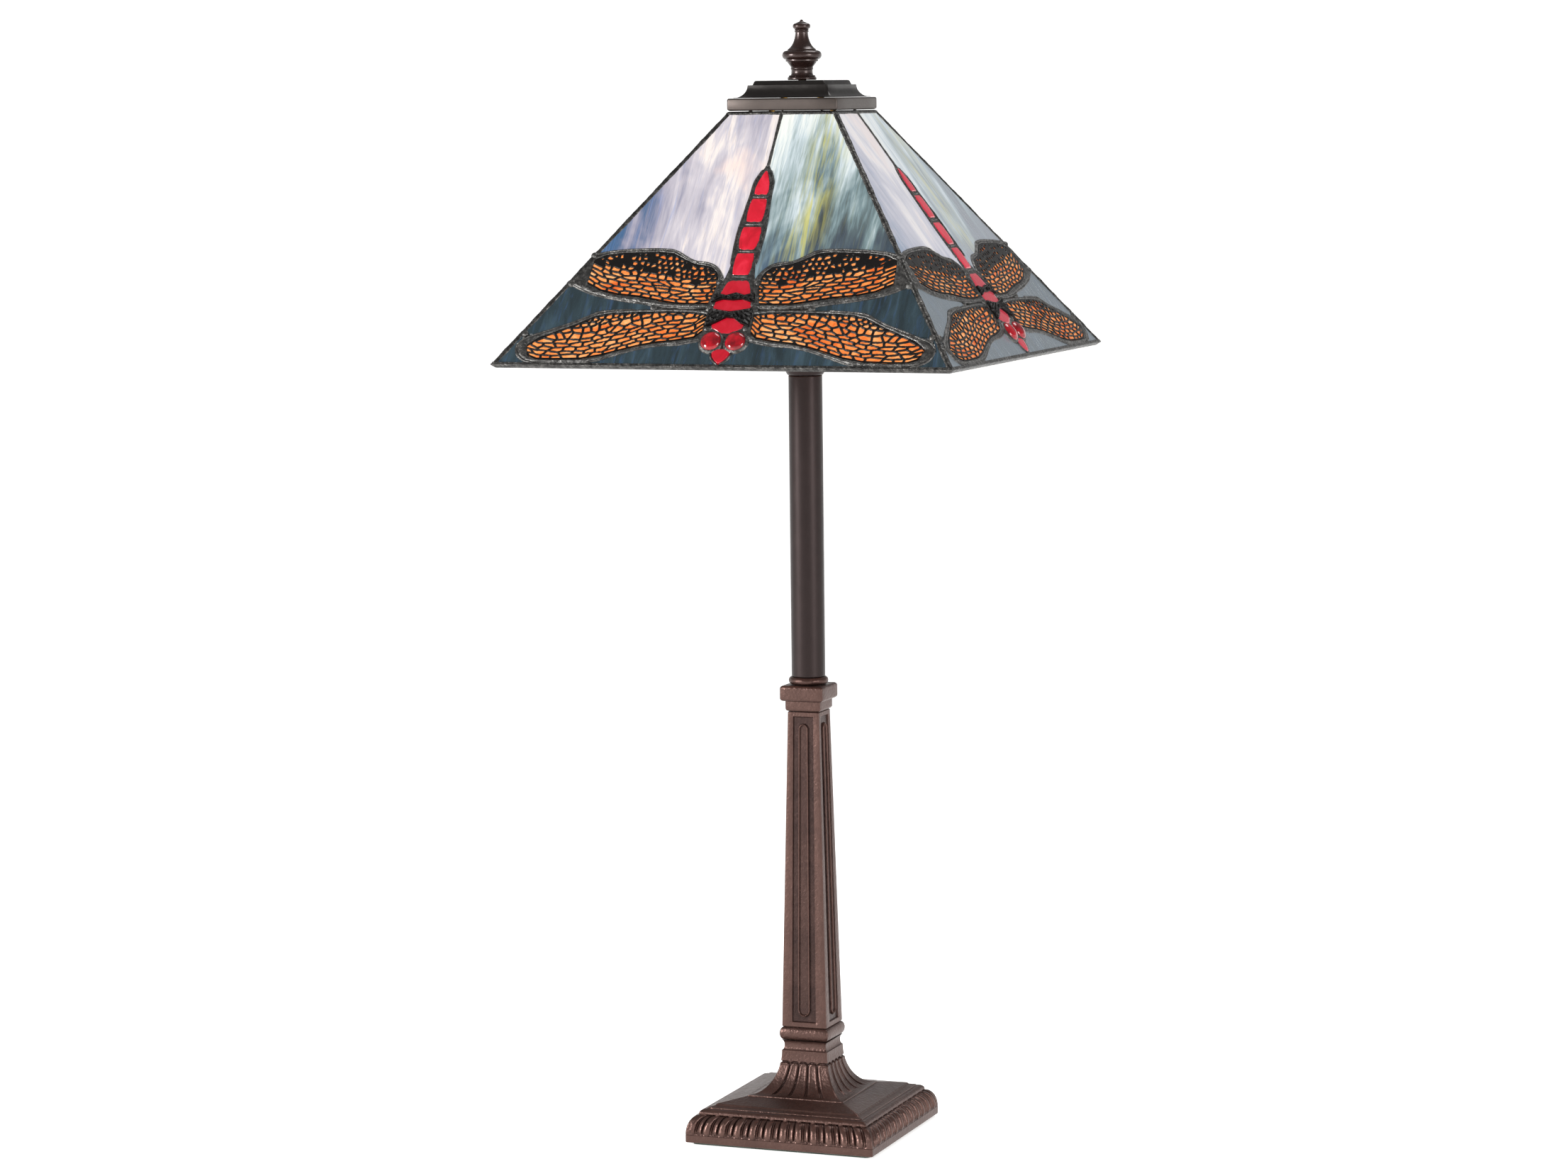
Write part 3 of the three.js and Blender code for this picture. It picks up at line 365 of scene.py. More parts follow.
def border(outer, inner, side, height, seed, clear=1.0):
    """Solder flowed between two closed outlines: at each step round, the section rises from the
    outer line and falls to the inner one as a sine's square root, with uneven lumps."""
    around = []
    for low_edge, high_edge in (outer, inner):
        a, b = resampled(low_edge, 90), resampled(high_edge, 90)
        ends = [np.linspace(a[-1], b[-1], 12)[1:-1], np.linspace(b[0], a[0], 12)[1:-1]]
        around.append(inside_hips(np.concatenate([a, ends[0], b[::-1], ends[1]]), clear))
    t = np.linspace(0, 1, 7)[None, :, None]
    flat = around[0][:, None] * (1 - t) + around[1][:, None] * t
    flat = np.concatenate([flat, flat[:, ::-1][:, [0, -1]]], 1)
    u, v = flat[..., 0], flat[..., 1]
    count = len(u)
    distance = np.arange(count)[:, None] * 1.3
    rise = 1.2 + (height - 1.2) * np.sqrt(np.sin(math.pi * np.linspace(0.02, 0.98, 7)))[None]
    lumps = 0.16 * waver(distance, seed) + 0.14 * np.sin(u[:, :7] * 0.9 + seed) * np.sin(v[:, :7] * 1.1)
    out = np.concatenate([rise + lumps, np.full((count, 2), -2.2)], 1)
    points, faces, _ = loft(placed(u, v, out, side), "loop")
    return points, faces, panel_marks(u, v, side)


def dome(across, up, side, radius, base, height, steep=0.5, tall=1.0):
    """A round button on the panel: the height follows one minus the squared share of the radius,
    raised to a power; its foot goes down to the panel's middle."""
    share = np.concatenate([[0.01], np.linspace(0.12, 1, 9), [1.0]])
    rise = base + height * np.clip(1 - share**2, 0, 1) ** steep
    rise[-1] = -1.0
    angle = np.linspace(0, TURN, 28, endpoint=False)[None]
    u = across + radius * share[:, None] * np.cos(angle)
    v = up + tall * radius * share[:, None] * np.sin(angle)
    points, faces, _ = loft(placed(u, v, rise[:, None] + 0 * angle, side), "caps")
    return points, faces, panel_marks(u, v, side)


def wire(path, radius, sides=14, flat_normal=(0, 1, 0)):
    """A round wire carried along a path that lies in an upright plane."""
    path = np.asarray(path, float)
    tangent = np.gradient(path, axis=0)
    tangent /= np.linalg.norm(tangent, axis=1, keepdims=True)
    across = np.cross(np.broadcast_to(flat_normal, path.shape), tangent)
    angle = np.linspace(0, TURN, sides, endpoint=False)[None, :, None]
    reach = np.asarray(radius, float).reshape(-1, 1, 1)
    grid = path[:, None] + reach * (np.cos(angle) * across[:, None]
                                    + np.sin(angle) * np.asarray(flat_normal, float)[None, None])
    return loft(grid * MM, "caps")


def thread(radius, depth, pitch, low, high, bore):
    """A screw thread with a bore: the radius rises and falls with the height over the pitch less
    the share of the turn."""
    heights = np.arange(low, high, pitch / 5)
    profile = line([[bore, low]], np.stack([np.full_like(heights, radius - depth), heights], -1),
                   [[bore, high]])
    inner = (profile[:, :1] > bore + 0.01).astype(float)

    def wave(angle, height):
        phase = (height / pitch - angle / TURN) % 1
        return inner * depth * (1 - np.abs(2 * phase - 1))

    return turned(profile, 28, wave=wave)


# ---------------------------------------------------------------------------
# Putting a piece in the scene
# ---------------------------------------------------------------------------

def put(name, parts, body, finish, nodes=(), crease=38):
    """Join parts in one mesh, point its faces outwards, shade it smooth up to the crease angle,
    hang it on its body, hide the nodes it stands for and give it its finish."""
    starts = np.cumsum([0] + [len(points) for points, _, _ in parts])
    runs = [face + start for (_, faces, _), start in zip(parts, starts) for face in faces]
    corners = np.concatenate([run.ravel() for run in runs]).astype(np.int32)
    counts = np.concatenate([np.full(len(run), run.shape[1]) for run in runs])
    points = np.concatenate([points for points, _, _ in parts]).astype(np.float32)
    marks = np.concatenate([marks for _, _, marks in parts]).astype(np.float32)
    mesh = bpy.data.meshes.new(name)
    mesh.vertices.add(len(points))
    mesh.vertices.foreach_set("co", points.ravel())
    mesh.loops.add(len(corners))
    mesh.loops.foreach_set("vertex_index", corners)
    mesh.polygons.add(len(counts))
    mesh.polygons.foreach_set("loop_start", (np.cumsum(counts) - counts).astype(np.int32))
    mesh.update(calc_edges=True)
    layer = mesh.attributes.new("marks", "FLOAT_VECTOR", "POINT")
    layer.data.foreach_set("vector", marks.ravel())
    mesh.validate()
    body_mesh = bmesh.new()
    body_mesh.from_mesh(mesh)
    bmesh.ops.recalc_face_normals(body_mesh, faces=body_mesh.faces)
    body_mesh.to_mesh(mesh)
    body_mesh.free()
    mesh.shade_smooth()
    mesh.set_sharp_from_angle(angle=math.radians(crease))
    mesh.materials.append(finish)
    made = bpy.data.objects.new(name, mesh)
    bpy.context.scene.collection.objects.link(made)
    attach(made, body)
    if nodes:
        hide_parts(*nodes)
    return made


def paint(name, finish):
    """Give a node of the frame its finish."""
    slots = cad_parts[name].data.materials
    slots.clear()
    slots.append(finish)


# ---------------------------------------------------------------------------
# Finishes
# ---------------------------------------------------------------------------

def node(tree, kind, inputs=None, **settings):
    """Add a node with its settings; an input is a value or another node's output."""
    made = tree.nodes.new(kind)
    for key, value in settings.items():
        setattr(made, key, value)
    for key, value in (inputs or {}).items():
        if isinstance(value, bpy.types.NodeSocket):
            tree.links.new(value, made.inputs[key])
        else:
            made.inputs[key].default_value = value
    return made


def blank(name):
    """A new material with an empty node tree."""
    finish = bpy.data.materials.new(name)
    finish.use_nodes = True
    finish.node_tree.nodes.clear()
    return finish, finish.node_tree


def sums(tree, operation, first, second=0.5, third=None, clamp=False):
    """One step of arithmetic."""
    values = {0: first, 1: second}
    if third is not None:
        values[2] = third
    return node(tree, "ShaderNodeMath", values, operation=operation, use_clamp=clamp).outputs[0]


def blend(tree, factor, first, second, mode="MIX"):
    """Mix two colours."""
    made = node(tree, "ShaderNodeMix", {0: factor, 6: first, 7: second}, data_type="RGBA",
                blend_type=mode)
    return made.outputs[2]


def ramp(tree, factor, *stops):
    """A run of colours: each stop is a place from 0 to 1 and a colour code."""
    made = node(tree, "ShaderNodeValToRGB", {0: factor})
    shades = made.color_ramp.elements
    shades[0].position, shades[0].color = stops[0][0], tone(stops[0][1])
    shades[1].position, shades[1].color = stops[-1][0], tone(stops[-1][1])
    for place, code in stops[1:-1]:
        shades.new(place).color = tone(code)
    return made.outputs[0]


def grain(tree, source, scale, detail=3.0, roughness=0.55, distortion=0.0):
    """Noise between 0 and 1."""
    made = node(tree, "ShaderNodeTexNoise", {
        "Vector": source, "Scale": scale, "Detail": detail, "Roughness": roughness,
        "Distortion": distortion})
    return made.outputs["Fac"]


def close(tree, shader):
    """Join the shader to the material's output."""
    node(tree, "ShaderNodeOutputMaterial", {"Surface": shader.outputs[0]})


def object_place(tree):
    """Object coordinates."""
    return node(tree, "ShaderNodeTexCoord").outputs["Object"]


def marks_of(tree):
    """The piece's own marks, and their three parts."""
    vector = node(tree, "ShaderNodeAttribute", attribute_name="marks").outputs["Vector"]
    parts = node(tree, "ShaderNodeSeparateXYZ", {0: vector})
    return vector, parts.outputs[0], parts.outputs[1], parts.outputs[2]


def metal(name, dark, light, rough=0.42, metallic=0.5, peel=0.3, size=1000, patch=28, coat=0.0,
          marked=True):
    """A bronze or steel finish: two tones mixed by broad noise and by how raised the surface is, which
    darkens the recesses as patina and as painted shade; an uneven gloss, and a fine grain in the bump."""
    finish, tree = blank(name)
    place = object_place(tree)
    _, raised, _, _ = marks_of(tree)
    broad = grain(tree, place, patch, 4)
    middling = grain(tree, place, patch * 9, 3)
    lit = sums(tree, "MULTIPLY_ADD", broad, 0.7, -0.35)
    # How raised the surface is darkens the recesses: the patina in the hollows, and painted shade.
    lit = sums(tree, "ADD", lit, raised if marked else 0.6)
    lit = sums(tree, "MULTIPLY_ADD", middling, 0.3, sums(tree, "SUBTRACT", lit, 0.15), clamp=True)
    fine = grain(tree, place, size, 2)
    bump = node(tree, "ShaderNodeBump", {"Strength": peel, "Distance": 0.0004, "Height": fine})
    gloss = sums(tree, "MULTIPLY_ADD", middling, 0.22, rough - 0.11)
    shader = node(tree, "ShaderNodeBsdfPrincipled", {
        "Base Color": blend(tree, lit, dark, light), "Metallic": metallic, "Roughness": gloss,
        "Normal": bump.outputs[0], "Coat Weight": coat, "Coat Roughness": 0.25})
    close(tree, shader)
    return finish


def solder_finish(name, dark, light):
    """Patinated solder: a dark tone with irregular patches that are brighter and glossier, standing
    for patina rubbed through and for painted highlights, and a lumpy surface."""
    finish, tree = blank(name)
    place = object_place(tree)
    patch = grain(tree, place, 260, 5, 0.6)
    lumps = grain(tree, place, 520, 3, 0.6)
    # Noise patches lightened toward the bright tone: rubbed-through patina and painted highlights.
    rubbed_and_highlit = sums(tree, "MULTIPLY_ADD", patch, 3.6, -1.45, clamp=True)
    rubbed_and_highlit = sums(tree, "MULTIPLY", rubbed_and_highlit, sums(tree, "MULTIPLY_ADD", lumps, 1.6, -0.2, clamp=True))
    bump = node(tree, "ShaderNodeBump", {"Strength": 0.75, "Distance": 0.0009, "Height": lumps})
    shader = node(tree, "ShaderNodeBsdfPrincipled", {
        "Base Color": blend(tree, rubbed_and_highlit, dark, light), "Metallic": 0.8,
        "Roughness": sums(tree, "MULTIPLY_ADD", rubbed_and_highlit, -0.16, 0.40), "Normal": bump.outputs[0]})
    close(tree, shader)
    return finish


def lit_glass(tree, shade, bump, glow, rough=0.16, body=0.42):
    """Opalescent glass with the lamp on: it shines with its own colour, reflects a darker share
    of it, and is glossy."""
    dim = blend(tree, 1.0, shade, (body, body, body, 1), "MULTIPLY")
    shader = node(tree, "ShaderNodeBsdfPrincipled", {
        "Base Color": dim, "Roughness": rough, "Normal": bump.outputs[0],
        "Emission Color": shade, "Emission Strength": glow, "Coat Weight": 0.25,
        "Coat Roughness": 0.08})
    close(tree, shader)


def streaks(tree, wide, tall, lean, detail=4.0, distortion=0.8, shift=0.0):
    """Drawn-out noise: long up the slope, narrow across it and leaning a little. It differs from
    side to side."""
    vector, _, _, _ = marks_of(tree)
    turned_marks = node(tree, "ShaderNodeMapping", {
        "Vector": vector, "Rotation": (0, 0, lean), "Scale": (wide, tall, 3.7),
        "Location": (shift, shift, 0)})
    return grain(tree, turned_marks.outputs[0], 1.0, detail, 0.55, distortion)


def sky_finish(glow):
    """The sky's two sheets: lavender, pink and white left of the seam, pale blue with yellow
    streaks and slate green right of it, each darker towards the corner, paled on the other sides by a
    painted reflection."""
    finish, tree = blank("sky_glass")
    _, across, up, side = marks_of(tree)
    right = sums(tree, "GREATER_THAN", across, 0.0)
    reach = sums(tree, "ABSOLUTE", across)
    drawn = streaks(tree, 62, 9, 0.10)
    wisps = streaks(tree, 190, 16, 0.14, 3, 1.4, 4.0)
    clouds = streaks(tree, 24, 14, -0.2, 3, 0.9, 9.0)
    threads = streaks(tree, 520, 34, 0.12, 3, 0.8, 13.0)
    uneven = sums(tree, "MULTIPLY_ADD", drawn, 1.5, -0.75)
    uneven = sums(tree, "ADD", uneven, sums(tree, "MULTIPLY_ADD", clouds, 0.9, -0.45))
    uneven = sums(tree, "ADD", uneven, sums(tree, "MULTIPLY_ADD", threads, 0.5, -0.25))
    left_tone = sums(tree, "MAXIMUM", sums(tree, "SUBTRACT", reach, 0.050), 0.0)
    left_tone = sums(tree, "MULTIPLY_ADD", left_tone, -13.0, sums(tree, "ADD", uneven, 0.82),
                     clamp=True)
    right_tone = sums(tree, "MULTIPLY_ADD", up, 3.6, sums(tree, "ADD", uneven, 0.17))
    right_tone = sums(tree, "MULTIPLY_ADD", reach, -4.3, right_tone, clamp=True)
    lavender = ramp(tree, left_tone, (0.0, "436388"), (0.2, "6a7692"), (0.42, "9896a8"),
                    (0.62, "b6b1bc"), (0.82, "ccc6cd"), (1.0, "eee4df"))
    pale = ramp(tree, right_tone, (0.0, "393f3d"), (0.15, "464e53"), (0.3, "586669"),
                (0.45, "768a8e"), (0.62, "a0b0b3"), (0.8, "c8d4d8"), (1.0, "ecefe9"))
    bluish = sums(tree, "MULTIPLY_ADD", wisps, 4.0, -2.25, clamp=True)
    lavender = blend(tree, sums(tree, "MULTIPLY", bluish, 0.5), lavender, tone("7f95c8"))
    mauve = sums(tree, "MULTIPLY_ADD", threads, 5.0, -2.85, clamp=True)
    lavender = blend(tree, sums(tree, "MULTIPLY", mauve, 0.5), lavender, tone("8f8390"))
    rosy = sums(tree, "MULTIPLY_ADD", clouds, 4.5, -2.5, clamp=True)
    lavender = blend(tree, sums(tree, "MULTIPLY", rosy, 0.5), lavender, tone("f2cfc0"))
    band = sums(tree, "SUBTRACT", reach, sums(tree, "MULTIPLY_ADD", up, 0.05, 0.034))
    band = sums(tree, "MULTIPLY_ADD", sums(tree, "ABSOLUTE", band), -48.0, 1.0, clamp=True)
    sunny = sums(tree, "MULTIPLY", band, sums(tree, "MULTIPLY_ADD", wisps, 5.0, -2.1, clamp=True))
    pale = blend(tree, sums(tree, "MULTIPLY", sunny, 0.75), pale, tone("c9c25a"))
    olive = sums(tree, "MULTIPLY_ADD", threads, -4.5, 2.0, clamp=True)
    pale = blend(tree, sums(tree, "MULTIPLY", olive, 0.35), pale, tone("8f9678"))
    deep = sums(tree, "MULTIPLY_ADD", up, -14.0, 1.75, clamp=True)
    deep = sums(tree, "MULTIPLY", deep, sums(tree, "MULTIPLY_ADD", drawn, -5.0, 2.9, clamp=True))
    pale = blend(tree, sums(tree, "MULTIPLY", deep, 0.6), pale, tone("45678f"))
    both = blend(tree, right, lavender, pale)
    # The sides other than the front are paled toward a light blue-grey: a painted reflection.
    painted_reflection = sums(tree, "MULTIPLY", sums(tree, "GREATER_THAN", side, 0.5), 0.42)
    both = blend(tree, painted_reflection, both, tone("d3d8e2"))
    bump = node(tree, "ShaderNodeBump", {"Strength": 0.18, "Distance": 0.0012, "Height": wisps})
    lit_glass(tree, both, bump, glow)
    return finish


def ground_finish(glow):
    """Dark slate-blue glass with faint green and blue streaks, greyed on the other sides by a painted
    reflection.
    """
    finish, tree = blank("ground_glass")
    _, _, _, side = marks_of(tree)
    drawn = streaks(tree, 80, 14, 0.12, 5, 1.0, 2.0)
    wisps = streaks(tree, 240, 30, 0.16, 3, 1.2, 7.0)
    shade = ramp(tree, drawn, (0.2, "1c2629"), (0.42, "26343a"), (0.58, "304149"), (0.8, "465c6a"))
    shade = blend(tree, sums(tree, "MULTIPLY_ADD", wisps, 2.5, -1.3, clamp=True), shade, tone("385377"))
    # The sides other than the front are greyed: a painted reflection.
    painted_reflection = sums(tree, "MULTIPLY", sums(tree, "GREATER_THAN", side, 0.5), 0.55)
    shade = blend(tree, painted_reflection, shade, tone("9aa3ab"))
    bump = node(tree, "ShaderNodeBump", {"Strength": 0.2, "Distance": 0.0012, "Height": wisps})
    lit_glass(tree, shade, bump, glow * 0.8, 0.13)
    return finish


def wing_finish(glow):
    """Amber wing glass that runs from red-orange to peach in soft clouds."""
    finish, tree = blank("wing_glass")
    clouds = streaks(tree, 34, 60, 0.5, 4, 1.2, 1.0)
    mottle = streaks(tree, 150, 190, 0.2, 3, 0.8, 5.0)
    place = sums(tree, "MULTIPLY_ADD", mottle, 0.7, sums(tree, "MULTIPLY_ADD", clouds, 1.4, -0.55),
                 clamp=True)
    shade = ramp(tree, place, (0.0, "c8441c"), (0.3, "e8702a"), (0.55, "f3934a"), (0.78, "f9b273"),
                 (1.0, "ffd9a8"))
    bump = node(tree, "ShaderNodeBump", {"Strength": 0.15, "Distance": 0.001, "Height": mottle})
    lit_glass(tree, shade, bump, glow * 1.05)
    return finish


def body_finish(glow):
    """Strong red glass with a slightly uneven depth."""
    finish, tree = blank("body_glass")
    clouds = streaks(tree, 90, 60, 0.0, 4, 1.0, 3.0)
    _, _, _, side = marks_of(tree)
    shade = ramp(tree, clouds, (0.25, "b80c22"), (0.5, "d8162f"), (0.75, "ee3048"))
    _, _, up, _ = marks_of(tree)
    shade = blend(tree, sums(tree, "MULTIPLY", sums(tree, "LESS_THAN", up, 0.077), 0.55), shade,
                  tone("b00c20"))
    # The sides other than the front are paled toward pink: a painted reflection.
    painted_reflection = sums(tree, "MULTIPLY", sums(tree, "GREATER_THAN", side, 0.5), 0.3)
    shade = blend(tree, painted_reflection, shade, tone("d8687a"))
    bump = node(tree, "ShaderNodeBump", {"Strength": 0.1, "Distance": 0.001, "Height": clouds})
    lit_glass(tree, shade, bump, glow * 0.8, 0.08)
    return finish


def jewel_finish(glow):
    """Pressed ruby glass: deep red with a clear glossy coat."""
    finish, tree = blank("jewel_glass")
    clouds = grain(tree, object_place(tree), 180, 3)
    shade = ramp(tree, clouds, (0.3, "6a0310"), (0.55, "a4081a"), (0.8, "cf142a"))
    bump = node(tree, "ShaderNodeBump", {"Strength": 0.05, "Distance": 0.001, "Height": clouds})
    lit_glass(tree, shade, bump, glow * 0.4, 0.04, 0.7)
    return finish


def bulb_finish():
    """Frosted white glass, lit from inside, a little brighter in patches of its powder coat."""
    finish, tree = blank("frosted_glass")
    powder = grain(tree, object_place(tree), 900, 3)
    shade = ramp(tree, powder, (0.3, "fff1d8"), (0.7, "fffaf0"))
    bump = node(tree, "ShaderNodeBump", {"Strength": 0.1, "Distance": 0.0002, "Height": powder})
    shader = node(tree, "ShaderNodeBsdfPrincipled", {
        "Base Color": shade, "Roughness": 0.5, "Normal": bump.outputs[0],
        "Emission Color": shade, "Emission Strength": 1.6})
    close(tree, shader)
    return finish


def felt_finish():
    """Short green felt: mottled by fibres, rough, with a soft sheen."""
    finish, tree = blank("felt")
    place = object_place(tree)
    fibres = grain(tree, place, 1400, 5, 0.7, 1.0)
    broad = grain(tree, place, 60, 3)
    shade = ramp(tree, sums(tree, "MULTIPLY_ADD", broad, 0.5, sums(tree, "MULTIPLY", fibres, 0.5)),
                 (0.3, "1d2c24"), (0.55, "2c4033"), (0.8, "3d5444"))
    bump = node(tree, "ShaderNodeBump", {"Strength": 0.8, "Distance": 0.0005, "Height": fibres})
    shader = node(tree, "ShaderNodeBsdfPrincipled", {
        "Base Color": shade, "Roughness": 0.95, "Normal": bump.outputs[0], "Sheen Weight": 0.4})
    close(tree, shader)
    return finish


FINISHES = {}


# name, material, dark and light tone, roughness, metallic, peel, grain size, patch size
PLAIN_FINISHES = (
    ("iron", "cast_iron", "2c2c2e", "565658", 0.68, 0.6, 0.7, 700, 40),
    ("steel", "zinc_steel", "7e7f7c", "b3b3ae", 0.36, 0.9, 0.15, 1600, 60),
    ("brass", "brass", "7d5f2a", "c39c52", 0.32, 0.9, 0.12, 1400, 40),
    ("nylon", "nylon", "141313", "242222", 0.5, 0.0, 0.2, 900, 40),
    ("fibre", "fibre", "6f634e", "9a8c72", 0.85, 0.0, 0.5, 1300, 90),
    ("phenolic", "phenolic", "191514", "302926", 0.4, 0.0, 0.1, 900, 50),
)


def finishes(scene):
    """Every finish by name, made once."""
    if not FINISHES:
        stand, shade = scene.lamp_stand, scene.lamp_shade
        FINISHES.update({
            "bronze": metal("bronze", tuple(stand.recess), tuple(stand.casting), 0.36, 0.72, stand.peel,
                            480),
            "tube": metal("tube_bronze", tone("231b1b"), tuple(stand.tube), 0.36, 0.75, 0.12, 1500, 12),
            "cap": metal("cap_bronze", tone("171514"), tuple(shade.cap), 0.34, 0.6, 0.12, 2200, 40),
            "band": metal("band_bronze", tone("3a3431"), tuple(shade.band), 0.38, 0.75, 0.15, 2600, 70),
            "finial": metal("finial_bronze", tone("1e1312"), tuple(shade.finial), 0.3, 0.5, 0.1, 900,
                            60, 0.3),
            "solder": solder_finish("solder", tuple(shade.solder), tuple(shade.bright)),
            "frame": solder_finish("frame_solder", tone("2e2d2c"), tone("6e6c69")),
            "filigree": metal("etched_metal", tone("0f0c0b"), tuple(shade.filigree), 0.42, 0.5, 0.3,
                              1800, 90),
            **{name: metal(title, tone(dark), tone(light), *values, marked=False)
               for name, title, dark, light, *values in PLAIN_FINISHES},
            "sky": sky_finish(shade.glow),
            "ground": ground_finish(shade.glow),
            "wing": wing_finish(shade.glow),
            "body": body_finish(shade.glow),
            "jewel": jewel_finish(shade.glow),
            "bulb": bulb_finish(),
            "felt": felt_finish(),
        })
    return FINISHES


# ---------------------------------------------------------------------------
# The stand
# ---------------------------------------------------------------------------

def gadroon_relief(low, high, count, depth):
    """Carving in the ovolo: in each period one wide tongue and three thin reeds, each a half
    circle across and rounded at its foot; a plain leaf at every corner."""
    def relief(share, height, half):
        rise = (height - low) / (high - low)
        phase = ((share + 1) / 2 * count) % 1
        foot = np.clip(0.24 - rise, 0, None) / 0.21
        tongue = np.sqrt(np.clip(1 - ((phase - 0.28) / 0.25) ** 2 - foot**2, 0, 1))
        reeds = np.zeros_like(tongue)
        for middle, reach in ((0.60, 0.10), (0.755, 0.16), (0.91, 0.10)):
            foot = np.clip(reach + 0.1 - rise, 0, None) / 0.14
            reed = 0.78 * np.sqrt(np.clip(1 - ((phase - middle) / 0.072) ** 2 - foot**2, 0, 1))
            reeds = np.maximum(reeds, reed)
        shape = np.where(np.abs(share) > 0.945, 1.0, np.maximum(tongue, reeds))
        sunk = np.clip(rise / 0.5, 0, 1) * 0.5 + 0.1
        proud = np.clip((1 - rise) / 0.3, 0, 1) * 0.35 + 0.1
        carved = depth * (shape * (sunk + proud) - sunk)
        return np.where((rise > 0.0) & (rise < 1.02), np.where(np.abs(share) > 0.945, 0, carved), 0)
    return relief


def flute_relief(low, high, depth):
    """Grooves in the foot: a groove runs round each of five tongues a side, and over their round
    tops. A tongue's edge is a rounded rectangle's distance."""
    def relief(share, height, half):
        middle = np.clip(np.round(share / 0.4) * 0.4, -0.8, 0.8)
        beyond = (np.abs(share - middle) - 0.155) * half
        outer = (np.abs(share) > 0.8)
        beyond = np.where(outer, -5.0, beyond)
        above = height - high
        corner = 2.2
        edge = np.hypot(np.clip(beyond + corner, 0, None), np.clip(above + corner, 0, None)) - corner
        gap = np.clip(np.minimum(edge / 0.35, (1.5 - edge) / 0.45), 0, 1)
        crown = 0.5 * np.clip(1 - np.abs(edge + 1.0) / 0.8, 0, 1)
        inside = (height > low) & (height < high + 2.2) & (half > 15)
        return np.where(inside, -depth * gap + crown * (1 - gap) * 0.6, 0)
    return relief


def base_parts(stand):
    """The base casting: band, gadrooned ovolo, bead, ledge, fluted foot and cavetto, and the
    hollow underneath."""
    foot, head = bottom("base_casting"), top("base_casting")
    half = half_width("base_casting")
    band = foot + 6.1
    ovolo = arc(half - 8, band, 8, 14, 0, 1, 26)
    bead = arc(half - 12.2, band + 14.9, 4.3, 3.3, -0.35, 1, 12)
    sweep = (37.5, band + 57, 19.25, 32)
    flute = line(arc(*sweep, -1, -1.73, 15), arc(*sweep, -1.74, -1.87, 14), arc(*sweep, -1.88, -2, 4))
    cove = arc(18.25, head - 3.85, 1.6, 3.85, -1, -3, 9)
    profile = line(
        [[half - 5, foot], [half - 0.7, foot], [half - 0.15, foot + 0.25], [half, foot + 0.8]],
        [[half, foot + 3], [half, band - 0.35], [half - 0.3, band - 0.05]], ovolo,
        [[half - 8.7, band + 14.05]], bead,
        [[half - 12.9, band + 18.3], [half - 13.2, band + 18.9], [half - 17.4, band + 19.9]],
        [[half - 18.0, band + 20.6], [half - 18.4, band + 21.0]],
        [[39.4, band + 24.2], [38.6, band + 24.3], [38.3, band + 25.0]], flute,
        cove, [[17.8, head], [5.8, head], [5.8, band + 52], [13.3, band + 52]],
        arc(32.5, band + 52, 19.25, 32, -2, -1, 8)[:-3],
        [[32.5, 24.33], [57, 24.33], [half - 5, band]])
    shares = np.linspace(-1, 1, stand.gadroons * 15 + 1)
    gadroons = gadroon_relief(band, band + 14, stand.gadroons, stand.gadroon_depth / MM)
    flutes = flute_relief(band + 25.4, band + 47.5, stand.flute_depth / MM)

    def relief(share, height, half_here):
        outside = np.zeros((len(profile), 1))
        outside[4:-16] = 1
        return (gadroons(share, height, half_here) + flutes(share, height, half_here)) * outside

    return [moulding(profile, relief, shares, 1.1, stand.gadroon_depth / MM)]


